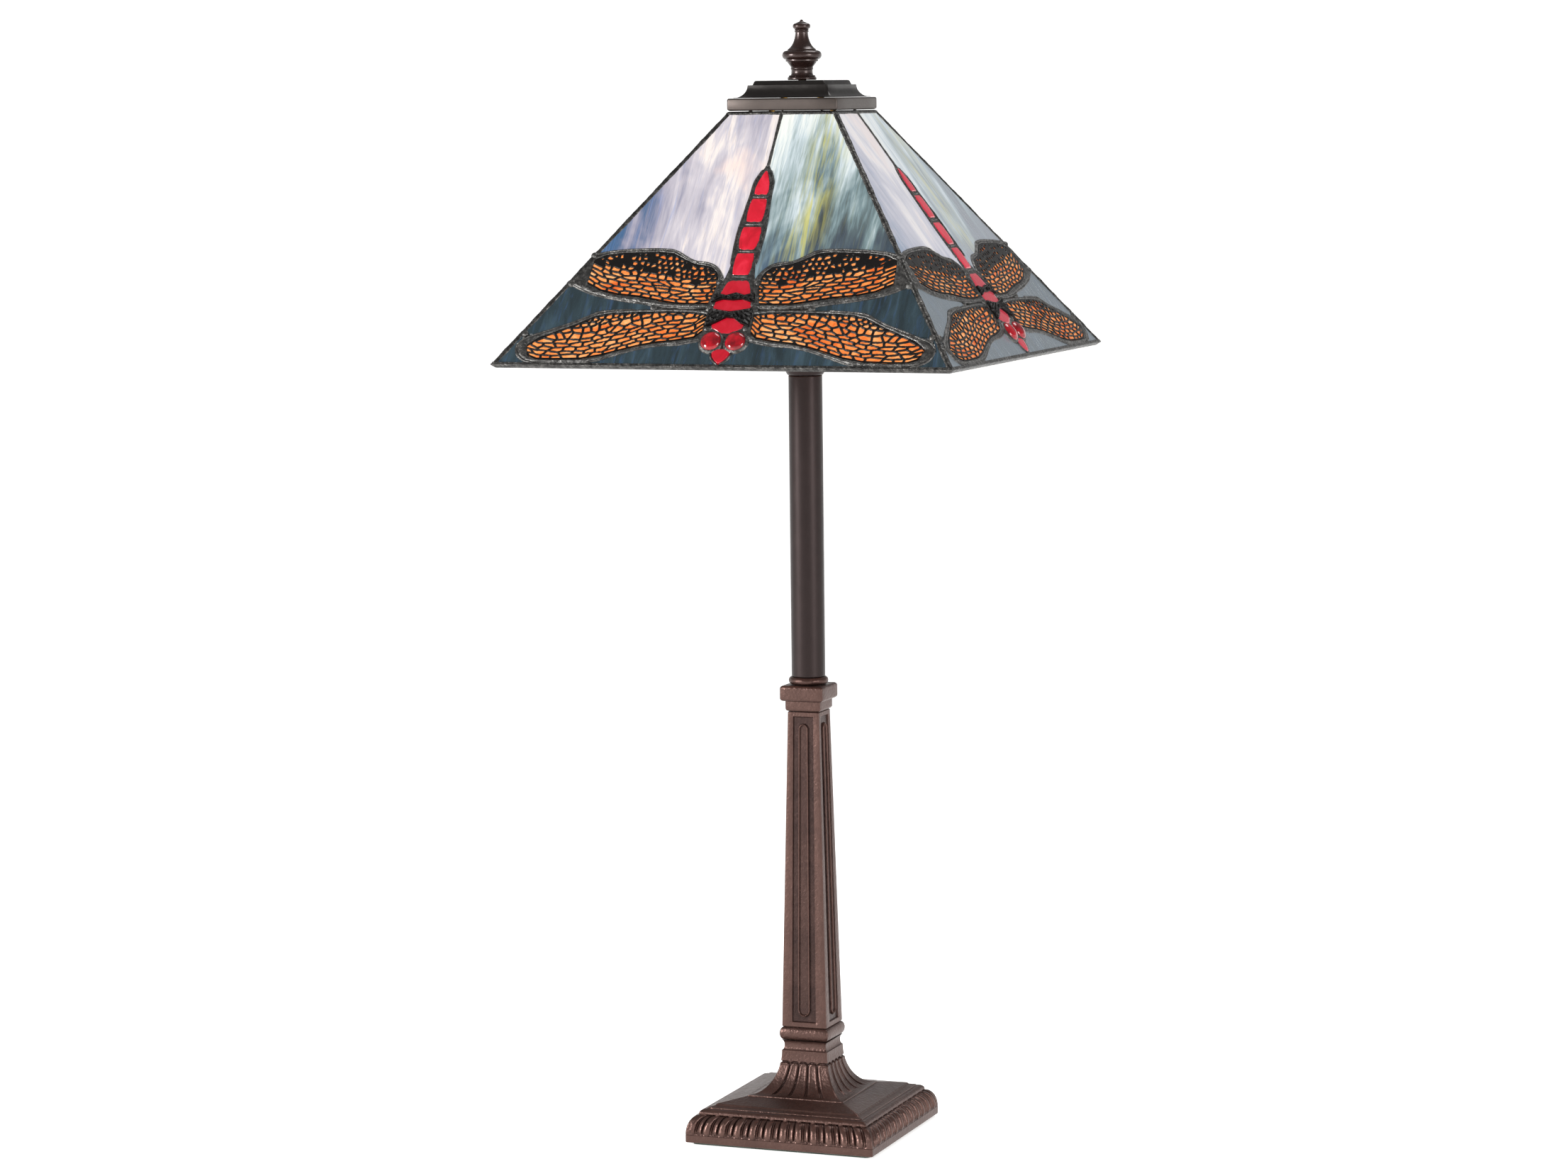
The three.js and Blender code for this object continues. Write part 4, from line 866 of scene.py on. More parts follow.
def column_parts(stand):
    """The tapered shaft: a recessed panel in each side with an oval bead in it, whose ends are
    arcs, the lower one drawn out a little."""
    low, high = bottom("tapered_column"), top("tapered_column")
    panel_low, panel_high = low + 4.2, high - 3.9
    ends = [np.arange(panel_low - 0.5, panel_low + 13, 0.42),
            np.arange(panel_high - 13, panel_high + 0.6, 0.42)]
    heights = np.concatenate([[low, low + 0.5], ends[0],
                              np.linspace(panel_low + 15, panel_high - 15, 30),
                              ends[1], [high - 0.5, high]])
    rise = (heights - low) / (high - low)
    halves = 17.9 + (12.5 - 17.9) * rise
    halves[[0, -1]] -= 0.4
    profile = line(np.stack([halves, heights], -1), [[8.2, high], [8.2, low]])

    def at(height, first, last):
        return first + (last - first) * (height - low) / (high - low)

    def warp(share, height, half):
        panel = at(height, 9.95, 8.55)
        oval = at(height, 5.2, 4.0)
        marks_here = np.concatenate(
            [0 * half, oval - 1.7, oval + 0.1, panel - 0.22, panel + 0.12, half], 1) / half
        steps = np.array([0, 0.3, 0.6, 0.8, 0.86, 1.0])
        size = np.abs(share[0])
        k = np.clip(np.searchsorted(steps, size, side="right") - 1, 0, 4)
        part = (size - steps[k]) / (steps[k + 1] - steps[k])
        return np.sign(share) * (marks_here[:, k] * (1 - part) + marks_here[:, k + 1] * part)

    def relief(share, height, half):
        across = np.abs(share) * half
        panel = at(height, 9.95, 8.55)
        oval = at(height, 5.2, 4.0) - 0.65
        edge = np.maximum(across - panel, np.maximum(panel_low - height, height - panel_high))
        sunk = np.clip(0.5 - edge / 0.34, 0, 1)
        below = np.clip(panel_low + 4.4 + oval + 0.65 - height, 0, None)
        above = np.clip(height - (panel_high - 5.1 - oval - 0.65), 0, None)
        away = np.hypot(across, np.maximum(below * 0.94, above)) - oval
        bead = stand.bead_height / MM * np.sqrt(np.clip(1 - (away / 0.72) ** 2, 0, 1))
        pad = 0.38 * np.clip(0.5 - away / 0.5, 0, 1)
        lift = -stand.panel_depth / MM * sunk + np.maximum(bead, pad) * sunk
        return np.where(half > 9, lift, 0)

    size = np.concatenate([np.linspace(0, 0.28, 9), np.linspace(0.3, 0.6, 12),
                           [0.66, 0.73, 0.8, 0.83, 0.86, 0.93, 1.0]])
    shares = np.concatenate([-size[:0:-1], size])
    # The 2.0 sets how far the panels' recesses are darkened by the painted shade.
    return [moulding(profile, relief, shares, 0.9, 2.0, warp=warp)]


class LAMP_OT_stand(bpy.types.Operator):
    """Build the cast base, the collar, the tapered column and the capital"""
    bl_idname = "lamp.stand"
    bl_label = "Cast Stand"

    def execute(self, context):
        stand = context.scene.lamp_stand
        finish = finishes(context.scene)
        put("base", base_parts(stand), "stand", finish["bronze"], ["base_casting"], 34)
        put("column", column_parts(stand), "stand", finish["bronze"], ["tapered_column"], 34)
        low, high = bottom("column_collar"), top("column_collar")
        half = half_width("column_collar")
        middle = (low + high) / 2
        collar = line([[5.8, low], [half - 2.6, low]], arc(half - 2.5, middle, 2.5, 4.8, -1, 1, 16),
                      [[half - 2.6, high], [5.8, high]])
        put("collar", [moulding(collar, rounding=1.2)], "stand", finish["bronze"],
            ["column_collar"])
        low, high = bottom("capital"), top("capital")
        step = low + 7.9
        block = line([[5.8, low]], arc(11.8, low + 2.2, 2.2, 2.2, -1, 0, 6),
                     [[14, step - 0.3], [14.3, step]],
                     arc(14.95, step + 2.2, 2.2, 2.2, -1, 0, 6), [[17.15, high - 2.6]],
                     arc(15.0, high - 2.2, 2.15, 2.2, 0, 1, 6), [[5.8, high]])
        put("capital_block", [moulding(block, rounding=1.3)], "stand", finish["bronze"],
            ["capital"])
        return {"FINISHED"}


class LAMP_OT_felt(bpy.types.Operator):
    """Build the felt under the base"""
    bl_idname = "lamp.felt"
    bl_label = "Felt"

    def execute(self, context):
        half, high = half_width("felt_pad"), top("felt_pad")
        profile = line([[0.4, 0]], [[half - 0.5, 0]],
                       arc(half - 0.5, high / 2, 0.5, high / 2, -1, 1, 6), [[0.4, high]])
        pad = put("felt", [moulding(profile, rounding=3.0, ends="caps")], "stand",
                  finishes(context.scene)["felt"], ["felt_pad"])
        return {"FINISHED"}


class LAMP_OT_ballast(bpy.types.Operator):
    """Build the washer, nut and threaded pipe that clamp the stand together, and finish the weight and
    bushing
    """
    bl_idname = "lamp.ballast"
    bl_label = "Ballast and Pipe"

    def execute(self, context):
        finish = finishes(context.scene)
        for name, kind in (("base_weight", "iron"), ("cord_bushing", "nylon")):
            paint(name, finish[kind])
        low, high = bottom("base_washer"), top("base_washer")
        washer = line([[5.45, low]], arc(15.5, low + 0.4, 0.4, 0.4, -1, 0, 3),
                      arc(15.5, high - 0.4, 0.4, 0.4, 0, 1, 3),
                      [[5.45, high]])
        put("washer", [turned(washer)], "stand", finish["steel"], ["base_washer"])
        low, high = bottom("base_nut"), top("base_nut")
        rows = line([[5.45, low + 0.5], [6.2, low], [8.0, low], [9.2, low + 0.9], [9.2, high - 0.9],
                     [8.0, high], [6.2, high], [5.45, high - 0.5]])

        def hexagon(angle, height):
            flat = 8.0 / np.cos((angle + TURN / 12) % (TURN / 6) - TURN / 12)
            full = rows[:, :1]
            return np.where(full > 7, np.minimum(full, flat) - full, 0)

        put("nut", [turned(rows, 96, wave=hexagon)], "stand", finish["steel"], ["base_nut"],
            25)
        low, high = bottom("threaded_pipe"), top("threaded_pipe")
        bore, outer = 3.4, half_width("threaded_pipe")
        plain = line([[bore, low + 12], [outer - 0.45, low + 12], [outer - 0.45, high - 21],
                      [bore, high - 21]])
        pipe = [thread(outer, 0.55, 1.4, low, low + 12.2, bore), turned(plain, 28),
                thread(outer, 0.55, 1.4, high - 21.2, high, bore)]
        put("pipe", pipe, "stand", finish["steel"], ["threaded_pipe"], 50)
        return {"FINISHED"}


class LAMP_OT_stem(bpy.types.Operator):
    """Build the ring, the round stem tube and the cup at its top"""
    bl_idname = "lamp.stem"
    bl_label = "Stem"

    def execute(self, context):
        finish = finishes(context.scene)
        low, high = bottom("tube_ring"), top("tube_ring")
        half = half_width("tube_ring")
        profile = line([[5.45, low]], arc(half - 2.85, (low + high) / 2, 2.85, 2.85, -1, 1, 14),
                       [[5.45, high]])
        put("ring", [turned(profile, 72)], "stand", finish["bronze"], ["tube_ring"])
        low, high = bottom("stem_tube"), top("stem_tube")
        half = half_width("stem_tube")
        profile = line([[half - 1.2, low], [half - 0.2, low], [half, low + 0.3]],
                       np.stack([np.full(9, half), np.linspace(low + 1, high - 1, 9)], -1),
                       [[half, high - 0.3], [half - 0.2, high], [half - 1.2, high]])
        put("tube", [turned(profile, 80)], "stand", finish["tube"], ["stem_tube"])
        low, high = bottom("neck_cup"), top("neck_cup")
        half = half_width("neck_cup")
        profile = line([[5.45, low], [half - 2.8, low]],
                       arc(half - 2.8, high - 2.5, 2.8, 10.0, -1, 0, 12)[1:],
                       [[half, high - 0.4], [half - 0.4, high], [5.45, high]])
        put("cup", [turned(profile, 80)], "stand", finish["tube"], ["neck_cup"])
        return {"FINISHED"}


# ---------------------------------------------------------------------------
# Harp, socket and bulb
# ---------------------------------------------------------------------------

def harp_parts():
    """The harp: one bent wire, a round seat and a threaded stud."""
    leg = (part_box("harp_sleeve_right")[0][0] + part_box("harp_sleeve_right")[1][0]) / 2 / MM
    low, stud = bottom("harp"), top("harp")
    seat = stud - 17
    wide = half_width("harp") - 1.8
    wire_top = seat - 1.8
    start = low + 27
    bow = wire_top - start
    right = [
        [leg, low], [leg, low + 13.5], [leg, start], [leg + (wide - leg) * 0.55, start + bow * 0.17],
        [wide, start + bow * 0.42], [wide * 0.93, start + bow * 0.62],
        [wide * 0.68, start + bow * 0.82], [wide * 0.34, start + bow * 0.95], [4.25, wire_top]]
    points = np.array([[x, 0, z] for x, z in right] + [[-x, 0, z] for x, z in right[::-1]])
    path = smooth_path(points, 150)
    disc = line([[0.05, seat - 3.6], [7.6, seat - 3.6]], arc(7.7, seat - 1.8, 0.8, 1.8, -1, 1, 8),
                [[3.2, seat], [0.05, seat]])
    return [wire(path, np.full(len(path), 1.8)), turned(disc, 48, ends="caps"),
            thread(3.17, 0.35, 0.95, seat - 0.5, stud, 0.05)]


class LAMP_OT_harp(bpy.types.Operator):
    """Build the harp and the two sliding sleeves, and give the saddle its finish"""
    bl_idname = "lamp.harp"
    bl_label = "Harp"

    def execute(self, context):
        finish = finishes(context.scene)
        paint("harp_saddle", finish["brass"])
        put("harp_wire", harp_parts(), "stand", finish["brass"], ["harp"], 45)
        for hand in ("left", "right"):
            name = f"harp_sleeve_{hand}"
            low_corner, high_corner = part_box(name)
            middle = (low_corner[0] + high_corner[0]) / 2 / MM
            low, high = bottom(name), top(name)
            waist = (low + high) / 2
            outside = line(arc(2.9, low + 0.4, 0.4, 0.4, -1, 0, 3), [[3.3, low + 3]],
                           arc(3.3, low + 3.7, 0.35, 0.7, 3, 1, 4), [[3.3, waist], [3.3, high - 4.4]],
                           arc(3.3, high - 3.7, 0.35, 0.7, 3, 1, 4),
                           arc(2.9, high - 0.4, 0.4, 0.4, 0, 1, 3))
            tube = turned(line([[2.4, low]], outside, [[2.4, high]]), 32, (middle, 0))
            put(f"sleeve_{hand}_tube", [tube], f"sleeve_{hand}", finish["brass"], [name])
        return {"FINISHED"}


class LAMP_OT_socket(bpy.types.Operator):
    """Build the socket's cap and shell with their pressed bands, and its switch key"""
    bl_idname = "lamp.socket"
    bl_label = "Socket"

    def execute(self, context):
        finish = finishes(context.scene)
        paint("socket_liner", finish["fibre"])
        paint("socket_interior", finish["phenolic"])
        low, high = bottom("socket_cap"), top("socket_cap")
        outer = half_width("socket_cap")
        cap = line([[5.45, low], [8.2, low], [8.5, low + 0.4], [8.5, low + 4.6]],
                   arc(9.6, low + 14.2, outer - 9.6, 9.0, -1, 0, 12),
                   [[outer, high - 0.3], [outer - 0.3, high]],
                   [[outer - 0.8, high], [outer - 0.8, low + 14.4]],
                   arc(9.4, low + 14.2, outer - 10.2, 8.2, 0, -1, 8), [[5.45, low + 5.8]])
        put("socket_cup", [turned(cap, 72)], "stand", finish["brass"], ["socket_cap"])
        low, high = bottom("socket_shell"), top("socket_shell")
        outer = half_width("socket_shell")
        heights = np.concatenate([np.linspace(low, high - 16, 20), np.linspace(high - 15.5, high, 36)])
        banded = np.abs(heights - high + 8) < 6.6
        bands = 0.22 * np.cos((heights - high + 9) * TURN / 5.2) * banded - 0.22
        radius = outer + bands
        line_out = np.stack([radius, heights], -1)
        line_in = np.stack([radius - 0.62, heights], -1)[::-1]
        put("socket_body", [turned(line(line_out, line_in), 72)], "stand", finish["brass"],
            ["socket_shell"])
        key_low, key_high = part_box("switch_key")
        axis = (key_low[2] + key_high[2]) / 2 / MM
        front, back = key_low[1] / MM, key_high[1] / MM
        angle = np.linspace(0, TURN, 24, endpoint=False)[None]
        reach = np.array([back, back, front + 13.5, front + 12.0, front + 4, front + 4])[:, None]
        size = np.array([0.05, 1.9, 1.9, 1.5, 1.5, 0.05])[:, None]
        shaft = np.stack([size * np.cos(angle), reach + 0 * angle, axis + size * np.sin(angle)], -1)
        thumb_angle = np.linspace(0, TURN, 72, endpoint=False)[None]
        inset = np.array([2.2, 0.9, 0.25, 0.0, 0.0, 0.25, 0.9, 2.2])[:, None]
        level = np.array([-1.7, -1.62, -1.2, -0.6, 0.6, 1.2, 1.62, 1.7])[:, None]
        spread = np.sign(np.cos(thumb_angle)) * np.abs(np.cos(thumb_angle)) ** 0.8
        ridge = 0.12 * np.cos(thumb_angle * 24)
        thumb = np.stack([
            (9.0 - inset) * spread + 0 * level,
            front + 6.5 + (6.35 - inset + ridge) * np.sin(thumb_angle),
            axis + level + 0 * thumb_angle], -1)
        put("switch_thumb", [loft(shaft * MM, "caps"), loft(thumb * MM, "caps")], "switch_key",
            finish["phenolic"], ["switch_key"], 45)
        return {"FINISHED"}


class LAMP_OT_bulb(bpy.types.Operator):
    """Build the bulb and its screw base"""
    bl_idname = "lamp.bulb"
    bl_label = "Bulb"

    def execute(self, context):
        finish = finishes(context.scene)
        low, high = bottom("bulb_base"), top("bulb_base")
        outer = half_width("bulb_base")
        heights = np.arange(low + 5, high - 3, 0.45)
        turns = np.stack([np.full_like(heights, outer - 0.55), heights], -1)
        profile = line([[0.05, low], [4.2, low], [4.6, low + 0.7], [6.5, low + 1.5],
                        [outer - 1.2, low + 4.6]], turns,
                       [[outer - 0.6, high - 2.6], [outer - 0.6, high], [0.05, high]])
        winding = (np.abs(profile[:, :1] - (outer - 0.55)) < 0.01).astype(float)

        def wave(angle, height):
            return winding * 0.5 * np.sin((height / 3.6 - angle / TURN) * TURN)

        put("bulb_screw", [turned(profile, 48, ends="caps", wave=wave)], "bulb",
            finish["steel"], ["bulb_base"], 40)
        low, high = bottom("bulb_glass"), top("bulb_glass")
        radius = half_width("bulb_glass")
        middle = high - radius
        meeting = [radius * math.cos(-0.3), middle - radius * math.sin(0.3)]
        shoulder = smooth_path([[12.5, low], [13.0, low + 11], [radius * 0.62, low + 22],
                                [radius * 0.86, low + 34], meeting], 26)
        outside = line(shoulder, arc(0, middle, radius, radius, -0.19, 0.995, 30))
        inside = outside[::-1] - [0.9, 0] * (outside[::-1, :1] > 2)
        inside[:, 1] -= 0.9 * np.clip((inside[:, 1] - middle) / radius, 0, 1)
        inside[:, 0] = np.maximum(inside[:, 0], 0.05)
        put("bulb_globe", [turned(line(outside, inside), 64)], "bulb", finish["bulb"],
            ["bulb_glass"])
        return {"FINISHED"}


# ---------------------------------------------------------------------------
# The shade's cartoon: points across and up a panel in millimetres, right half
# ---------------------------------------------------------------------------

TAIL_EDGE = [(0.9, 176), (3.2, 172), (7.4, 161), (8.0, 150), (9.2, 136), (10.6, 118), (10.2, 101),
             (9.6, 88)]
WING_RIDGE = [(12, 73), (14.5, 79), (19, 85), (26, 89), (38, 91), (46, 95), (55, 100), (66, 101.5),
              (95, 100.5), (110, 98.5), (119, 96)]
SKY_CORNER = [(0.9, 224.6), (40.5, 224.6), (118.5, 96.5)]

UPPER_OUTER = ([(12, 52), (20, 50.6), (40, 50.6), (60, 52), (70, 54), (85, 56.2), (100, 59), (115, 63),
                (131, 70.5)],
               [(12, 72), (14, 78.5), (19, 84.5), (26, 88.5), (38, 90.5), (46, 94.5), (55, 99.5),
                (66, 101), (95, 100), (110, 98), (119, 95.5)])
UPPER_INNER = ([(20, 54.2), (32, 53.8), (45, 54.2), (60, 57), (75, 60), (92, 61.8), (106, 65.2),
                (118, 71.5)],
               [(16.0, 73), (18.6, 81), (23.6, 85.8), (38, 88.6), (46, 92.2), (55.5, 97.5), (66, 98.9),
                (95, 97.9), (108.5, 95.9), (117, 91.8)])
LOWER_OUTER = ([(12.5, 30), (19, 22.5), (35, 19), (50, 18), (65, 15), (80, 10), (97, 4), (106, 2.6),
                (143, 2.6), (151, 4.0), (158, 9)],
               [(12.5, 48), (30, 49.6), (50, 49.4), (75, 48.7), (90, 47.8), (103, 46.2), (110, 42.5),
                (120, 37.4), (130, 33.4), (145, 27.4), (156, 22.5), (161, 17.5)])
LOWER_INNER = ([(19, 30), (24, 25), (38, 22.2), (52, 20.5), (66, 17.5), (80, 13.2), (93, 9), (108, 6),
                (128, 5.2), (142, 5.4), (150, 8.5)],
               [(18.5, 45), (32, 46.8), (50, 47.0), (75, 46.2), (92, 45.2), (104, 42.6), (116, 36.2),
                (130, 29.8), (144, 23.8), (152.5, 17)])
GROUND_MIDDLE = ([(60, 49.8), (75, 48.9), (90, 47.9), (103, 46.2), (110, 42.5), (120, 37.4),
                  (130, 33.4), (145, 27.4), (157.3, 27)],
                 [(60, 52.0), (70, 53.9), (85, 56.1), (100, 58.9), (115, 63), (130.5, 70.6),
                  (157.6, 28.4)])
GROUND_CORNER = ([(157.5, 25), (161, 17.6), (158, 9), (151, 4), (144, 1.6)],
                 [(159.3, 24.8), (174.0, 0.8), (145, 0.6)])
GROUND_LOW = ([(2.2, 2.9), (3, 0.8), (105, 0.6)],
              [(4, 5), (9, 11), (14, 19), (20, 22.0), (35, 18.8), (50, 17.8), (65, 14.8), (80, 9.8),
               (97, 3.9), (105, 2.4)])
PLATE_EDGE = [(9, 26), (13.5, 33), (17, 44), (17, 56), (14.5, 66), (13, 75), (10, 84), (10.4, 95),
              (11.0, 108), (10.8, 120), (9.4, 134), (8.2, 149), (7.4, 161), (3.2, 172), (0.8, 177)]
TAIL_GLASS = (
    [(0.5, 171.2), (1.9, 168), (4.6, 160.5), (5.6, 155.5), (5.4, 151), (5.1, 149.4)],
    [(5.6, 146.4), (6.6, 142), (6.9, 136), (6.8, 131), (6.0, 125.2)],
    [(7.2, 121.5), (8.0, 116), (8.0, 110), (7.2, 104.5), (5.6, 100.8)],
    [(6.8, 98.4), (7.4, 93), (7.4, 87), (7.0, 82), (6.3, 78.8)],
)
THORAX_GLASS = [(7.4, 75), (9.6, 71), (12.4, 62), (14.8, 55), (15.4, 48), (14.6, 41), (12.0, 33),
                (3.5, 28.2)]
HEAD_GLASS = [(6.4, 15.5), (7.2, 12.5), (6.2, 8.8), (3.4, 5.2), (0.8, 3.2)]
THORAX_BANDS = (
    ([(-16.5, 54.4), (-8, 57), (0, 56.4), (7, 57.2), (16.5, 54.4)],
     [(-15, 62.6), (-6, 60.2), (1.5, 62.6), (8, 60.4), (15, 62.6)]),
    ([(-17, 33.5), (-9, 37), (-2, 41.4), (4, 41), (10, 36.6), (17, 34)],
     [(-17, 49.4), (-8, 47.4), (0, 46.2), (8, 47.6), (17, 49.4)]),
)
EYES = (9.4, 21.4)
# half the width of the solder bead over a corner of the shade
BEAD_RADIUS = 2.35
# where seams meet: across, up, radius and height of a round blob of solder
BOSSES = ((14.5, 73, 3.4, 2.2), (17, 50, 3.6, 2.3), (15, 33, 3.2, 2.1), (61, 50.8, 3.0, 1.9),
          (118.5, 96.0, 2.8, 2.3), (130.5, 71.0, 3.2, 2.3), (156.5, 27.0, 2.8, 2.2))
# how high the bars between the tail's pieces lie
TAIL_BARS = (147.9, 123.6, 100.0, 77.8)


def mirrored(edge, hand):
    """An edge on the right half, or its mirror image on the left."""
    return np.asarray(edge, float) * [hand, 1]


def ripple(height, size=0.1):
    """A sheet of hand-rolled glass: its face rises and falls with two crossing sines."""
    def relief(u, v, along, between):
        return height + size * np.sin(u * 0.21 + v * 0.05) * np.sin(v * 0.09 - u * 0.04)
    return relief


def pillow(low, high):
    """A small piece with rounded edges: it rises as the root of one minus the sixth power of each
    share, measured from the middle."""
    def relief(u, v, along, between):
        crown = (1 - (2 * along - 1) ** 6) * (1 - (2 * between - 1) ** 6)
        return low + (high - low) * np.sqrt(np.clip(crown, 0, 1))
    return relief


def solder_plate(height, seed):
    """Flowed solder: low lumps from crossing sines."""
    def relief(u, v, along, between):
        lumps = 0.16 * np.sin(u * 1.3 + seed) * np.sin(v * 0.8 + 2 * seed) + 0.1 * np.sin(v * 2.1 + u)
        fall = np.clip(np.minimum(between, 1 - between) / 0.12, 0, 1)
        return height - 0.9 * (1 - np.sqrt(np.clip(1 - (1 - fall) ** 2, 0, 1))) + lumps
    return relief


def vein_field(edge, far_edge, size, kind, width):
    """The etched metal over a wing. Every cell has a centre, a length and a height; the metal runs
    where the two nearest centres, measured in cell sizes, are equally near, and that difference
    over its own slope is the distance to the middle of a vein; the third nearest centre rounds the
    cells' corners. Returns the height outwards."""
    count, across_count = size
    a, b = resampled(edge, count), resampled(far_edge, count)
    middle = (a + b) / 2
    along = np.concatenate([[0], np.cumsum(np.linalg.norm(np.diff(middle, axis=0), axis=1))])
    breadth = np.linalg.norm(b - a, axis=1)
    t = np.linspace(0, 1, across_count)
    x = np.broadcast_to(along[:, None], size)
    y = breadth[:, None] * t[None]
    rng = np.random.default_rng({"upper": 41, "lower": 67, "thorax": 5}[kind])
    cells = []
    high, row = 0.0, 0
    tall = breadth.max() + 3
    while high < tall:
        share = high / breadth.max()
        if kind == "thorax":
            long, rise = 5.2, 3.4
        elif kind == "upper":
            long, rise = (10.2, 3.5) if share < 0.36 else ((7.2, 3.9) if share < 0.5 else (4.9, 4.3))
        else:
            long, rise = (10.2, 3.5) if share < 0.42 else ((7.6, 4.9) if share < 0.66 else (5.6, 3.7))
        places = np.arange(-long, along[-1] + long, long) + (row % 2) * long / 2
        cells.append(np.stack([
            places + rng.normal(0, 0.19 * long, len(places)),
            high + rise / 2 + rng.normal(0, 0.15 * rise, len(places)),
            long * rng.uniform(0.85, 1.15, len(places)),
            rise * rng.uniform(0.88, 1.12, len(places)),
            rng.uniform(0, 1, len(places)),
        ], -1))
        high += rise
        row += 1
    cells = np.concatenate(cells)
    near = np.full((3, *size), 1e9)
    own = np.zeros((3, *size))
    for centre_x, centre_y, long, rise, chance in cells:
        away = np.hypot((x - centre_x) / long, (y - centre_y) / rise)
        nearer = away < near[0]
        middling = np.maximum(away, near[0])
        near[2] = np.minimum(near[2], np.maximum(middling, near[1]))
        near[1] = np.minimum(near[1], middling)
        near[0] = np.minimum(near[0], away)
        for layer, value in zip(own, (chance, centre_x, centre_y)):
            layer[nearer] = value
    gap = near[1] - near[0]
    slope_x = np.gradient(gap, axis=0) / np.maximum(np.gradient(along)[:, None], 1e-3)
    slope_y = np.gradient(gap, axis=1) / np.maximum(breadth[:, None] / (across_count - 1), 1e-3)
    distance = gap / np.clip(np.hypot(slope_x, slope_y), 0.12, 0.6)
    corner = 1.7 * (near[2] - near[0]) / (1 / 3.6)
    distance = distance * corner / np.sqrt(distance**2 + corner**2 + 1e-9)
    share_up = own[2] / breadth.max()
    if kind == "upper":
        lost = (own[0] < 0.20) & (share_up > 0.46) & (own[1] > 14)
        distance = np.where(lost, 0, distance)
        reach = width * (0.48 + 0.2 * (share_up > 0.5))
    elif kind == "lower":
        reach = width * (0.47 + 0.06 * (share_up > 0.7))
    else:
        reach = width * 0.30
    edges = np.minimum(y, breadth[:, None] - y)
    distance = np.minimum(distance, np.clip(edges - 0.4, 0, None) + 0.2)
    rise = np.clip((reach + 0.42 - distance) / 0.84, 0, 1)
    low = 1.9 if kind == "thorax" else 0.75
    return low + 1.55 * rise * rise * (3 - 2 * rise)


FIELDS = {}


def filigree(edge, far_edge, side, hand, kind, size, width):
    """One wing's etched overlay: veins stand above the glass and the cells sink inside it."""
    if kind not in FIELDS:
        FIELDS[kind] = vein_field(edge, far_edge, size, kind, width)
    field = FIELDS[kind]

    def relief(u, v, along, between):
        return field

    return pane(mirrored(edge, hand), mirrored(far_edge, hand), side, relief, -1.0, size, 1.6)


def panel_glass(side):
    """Every sheet of glass in one panel, by the node that it stands for."""
    both = (1, -1)
    sheets = {"sky": [], "dragonfly_body": [], "ground_low": []}
    for hand in both:
        tail = line(TAIL_EDGE, WING_RIDGE)
        sheets["sky"].append(pane(mirrored(tail, hand), mirrored(SKY_CORNER, hand), side, ripple(1.5),
                                  size=(90, 30)))
        sheets["ground_low"].append(pane(mirrored(GROUND_LOW[0], hand), mirrored(GROUND_LOW[1], hand),
                                         side,
                                         ripple(1.45, 0.05), size=(50, 8)))
        name = "right" if hand > 0 else "left"
        sheets[f"wings_{name}"] = [
            pane(mirrored(low, hand), mirrored(high, hand), side, ripple(1.5, 0.06), size=(60, 14),
                 clear=1.4)
            for low, high in (UPPER_INNER, LOWER_INNER)]
        sheets[f"ground_{name}"] = [
            pane(mirrored(GROUND_MIDDLE[0], hand), mirrored(GROUND_MIDDLE[1], hand), side,
                 ripple(1.45, 0.06),
                 size=(60, 14)),
            pane(mirrored(GROUND_CORNER[0], hand), mirrored(GROUND_CORNER[1], hand), side,
                 ripple(1.45, 0.05),
                 size=(30, 8))]
    for edge in (*TAIL_GLASS, THORAX_GLASS, HEAD_GLASS):
        sheets["dragonfly_body"].append(
            pane(mirrored(edge, -1), mirrored(edge, 1), side, pillow(1.6, 2.75), -1.6, (34, 24), 0))
    return sheets


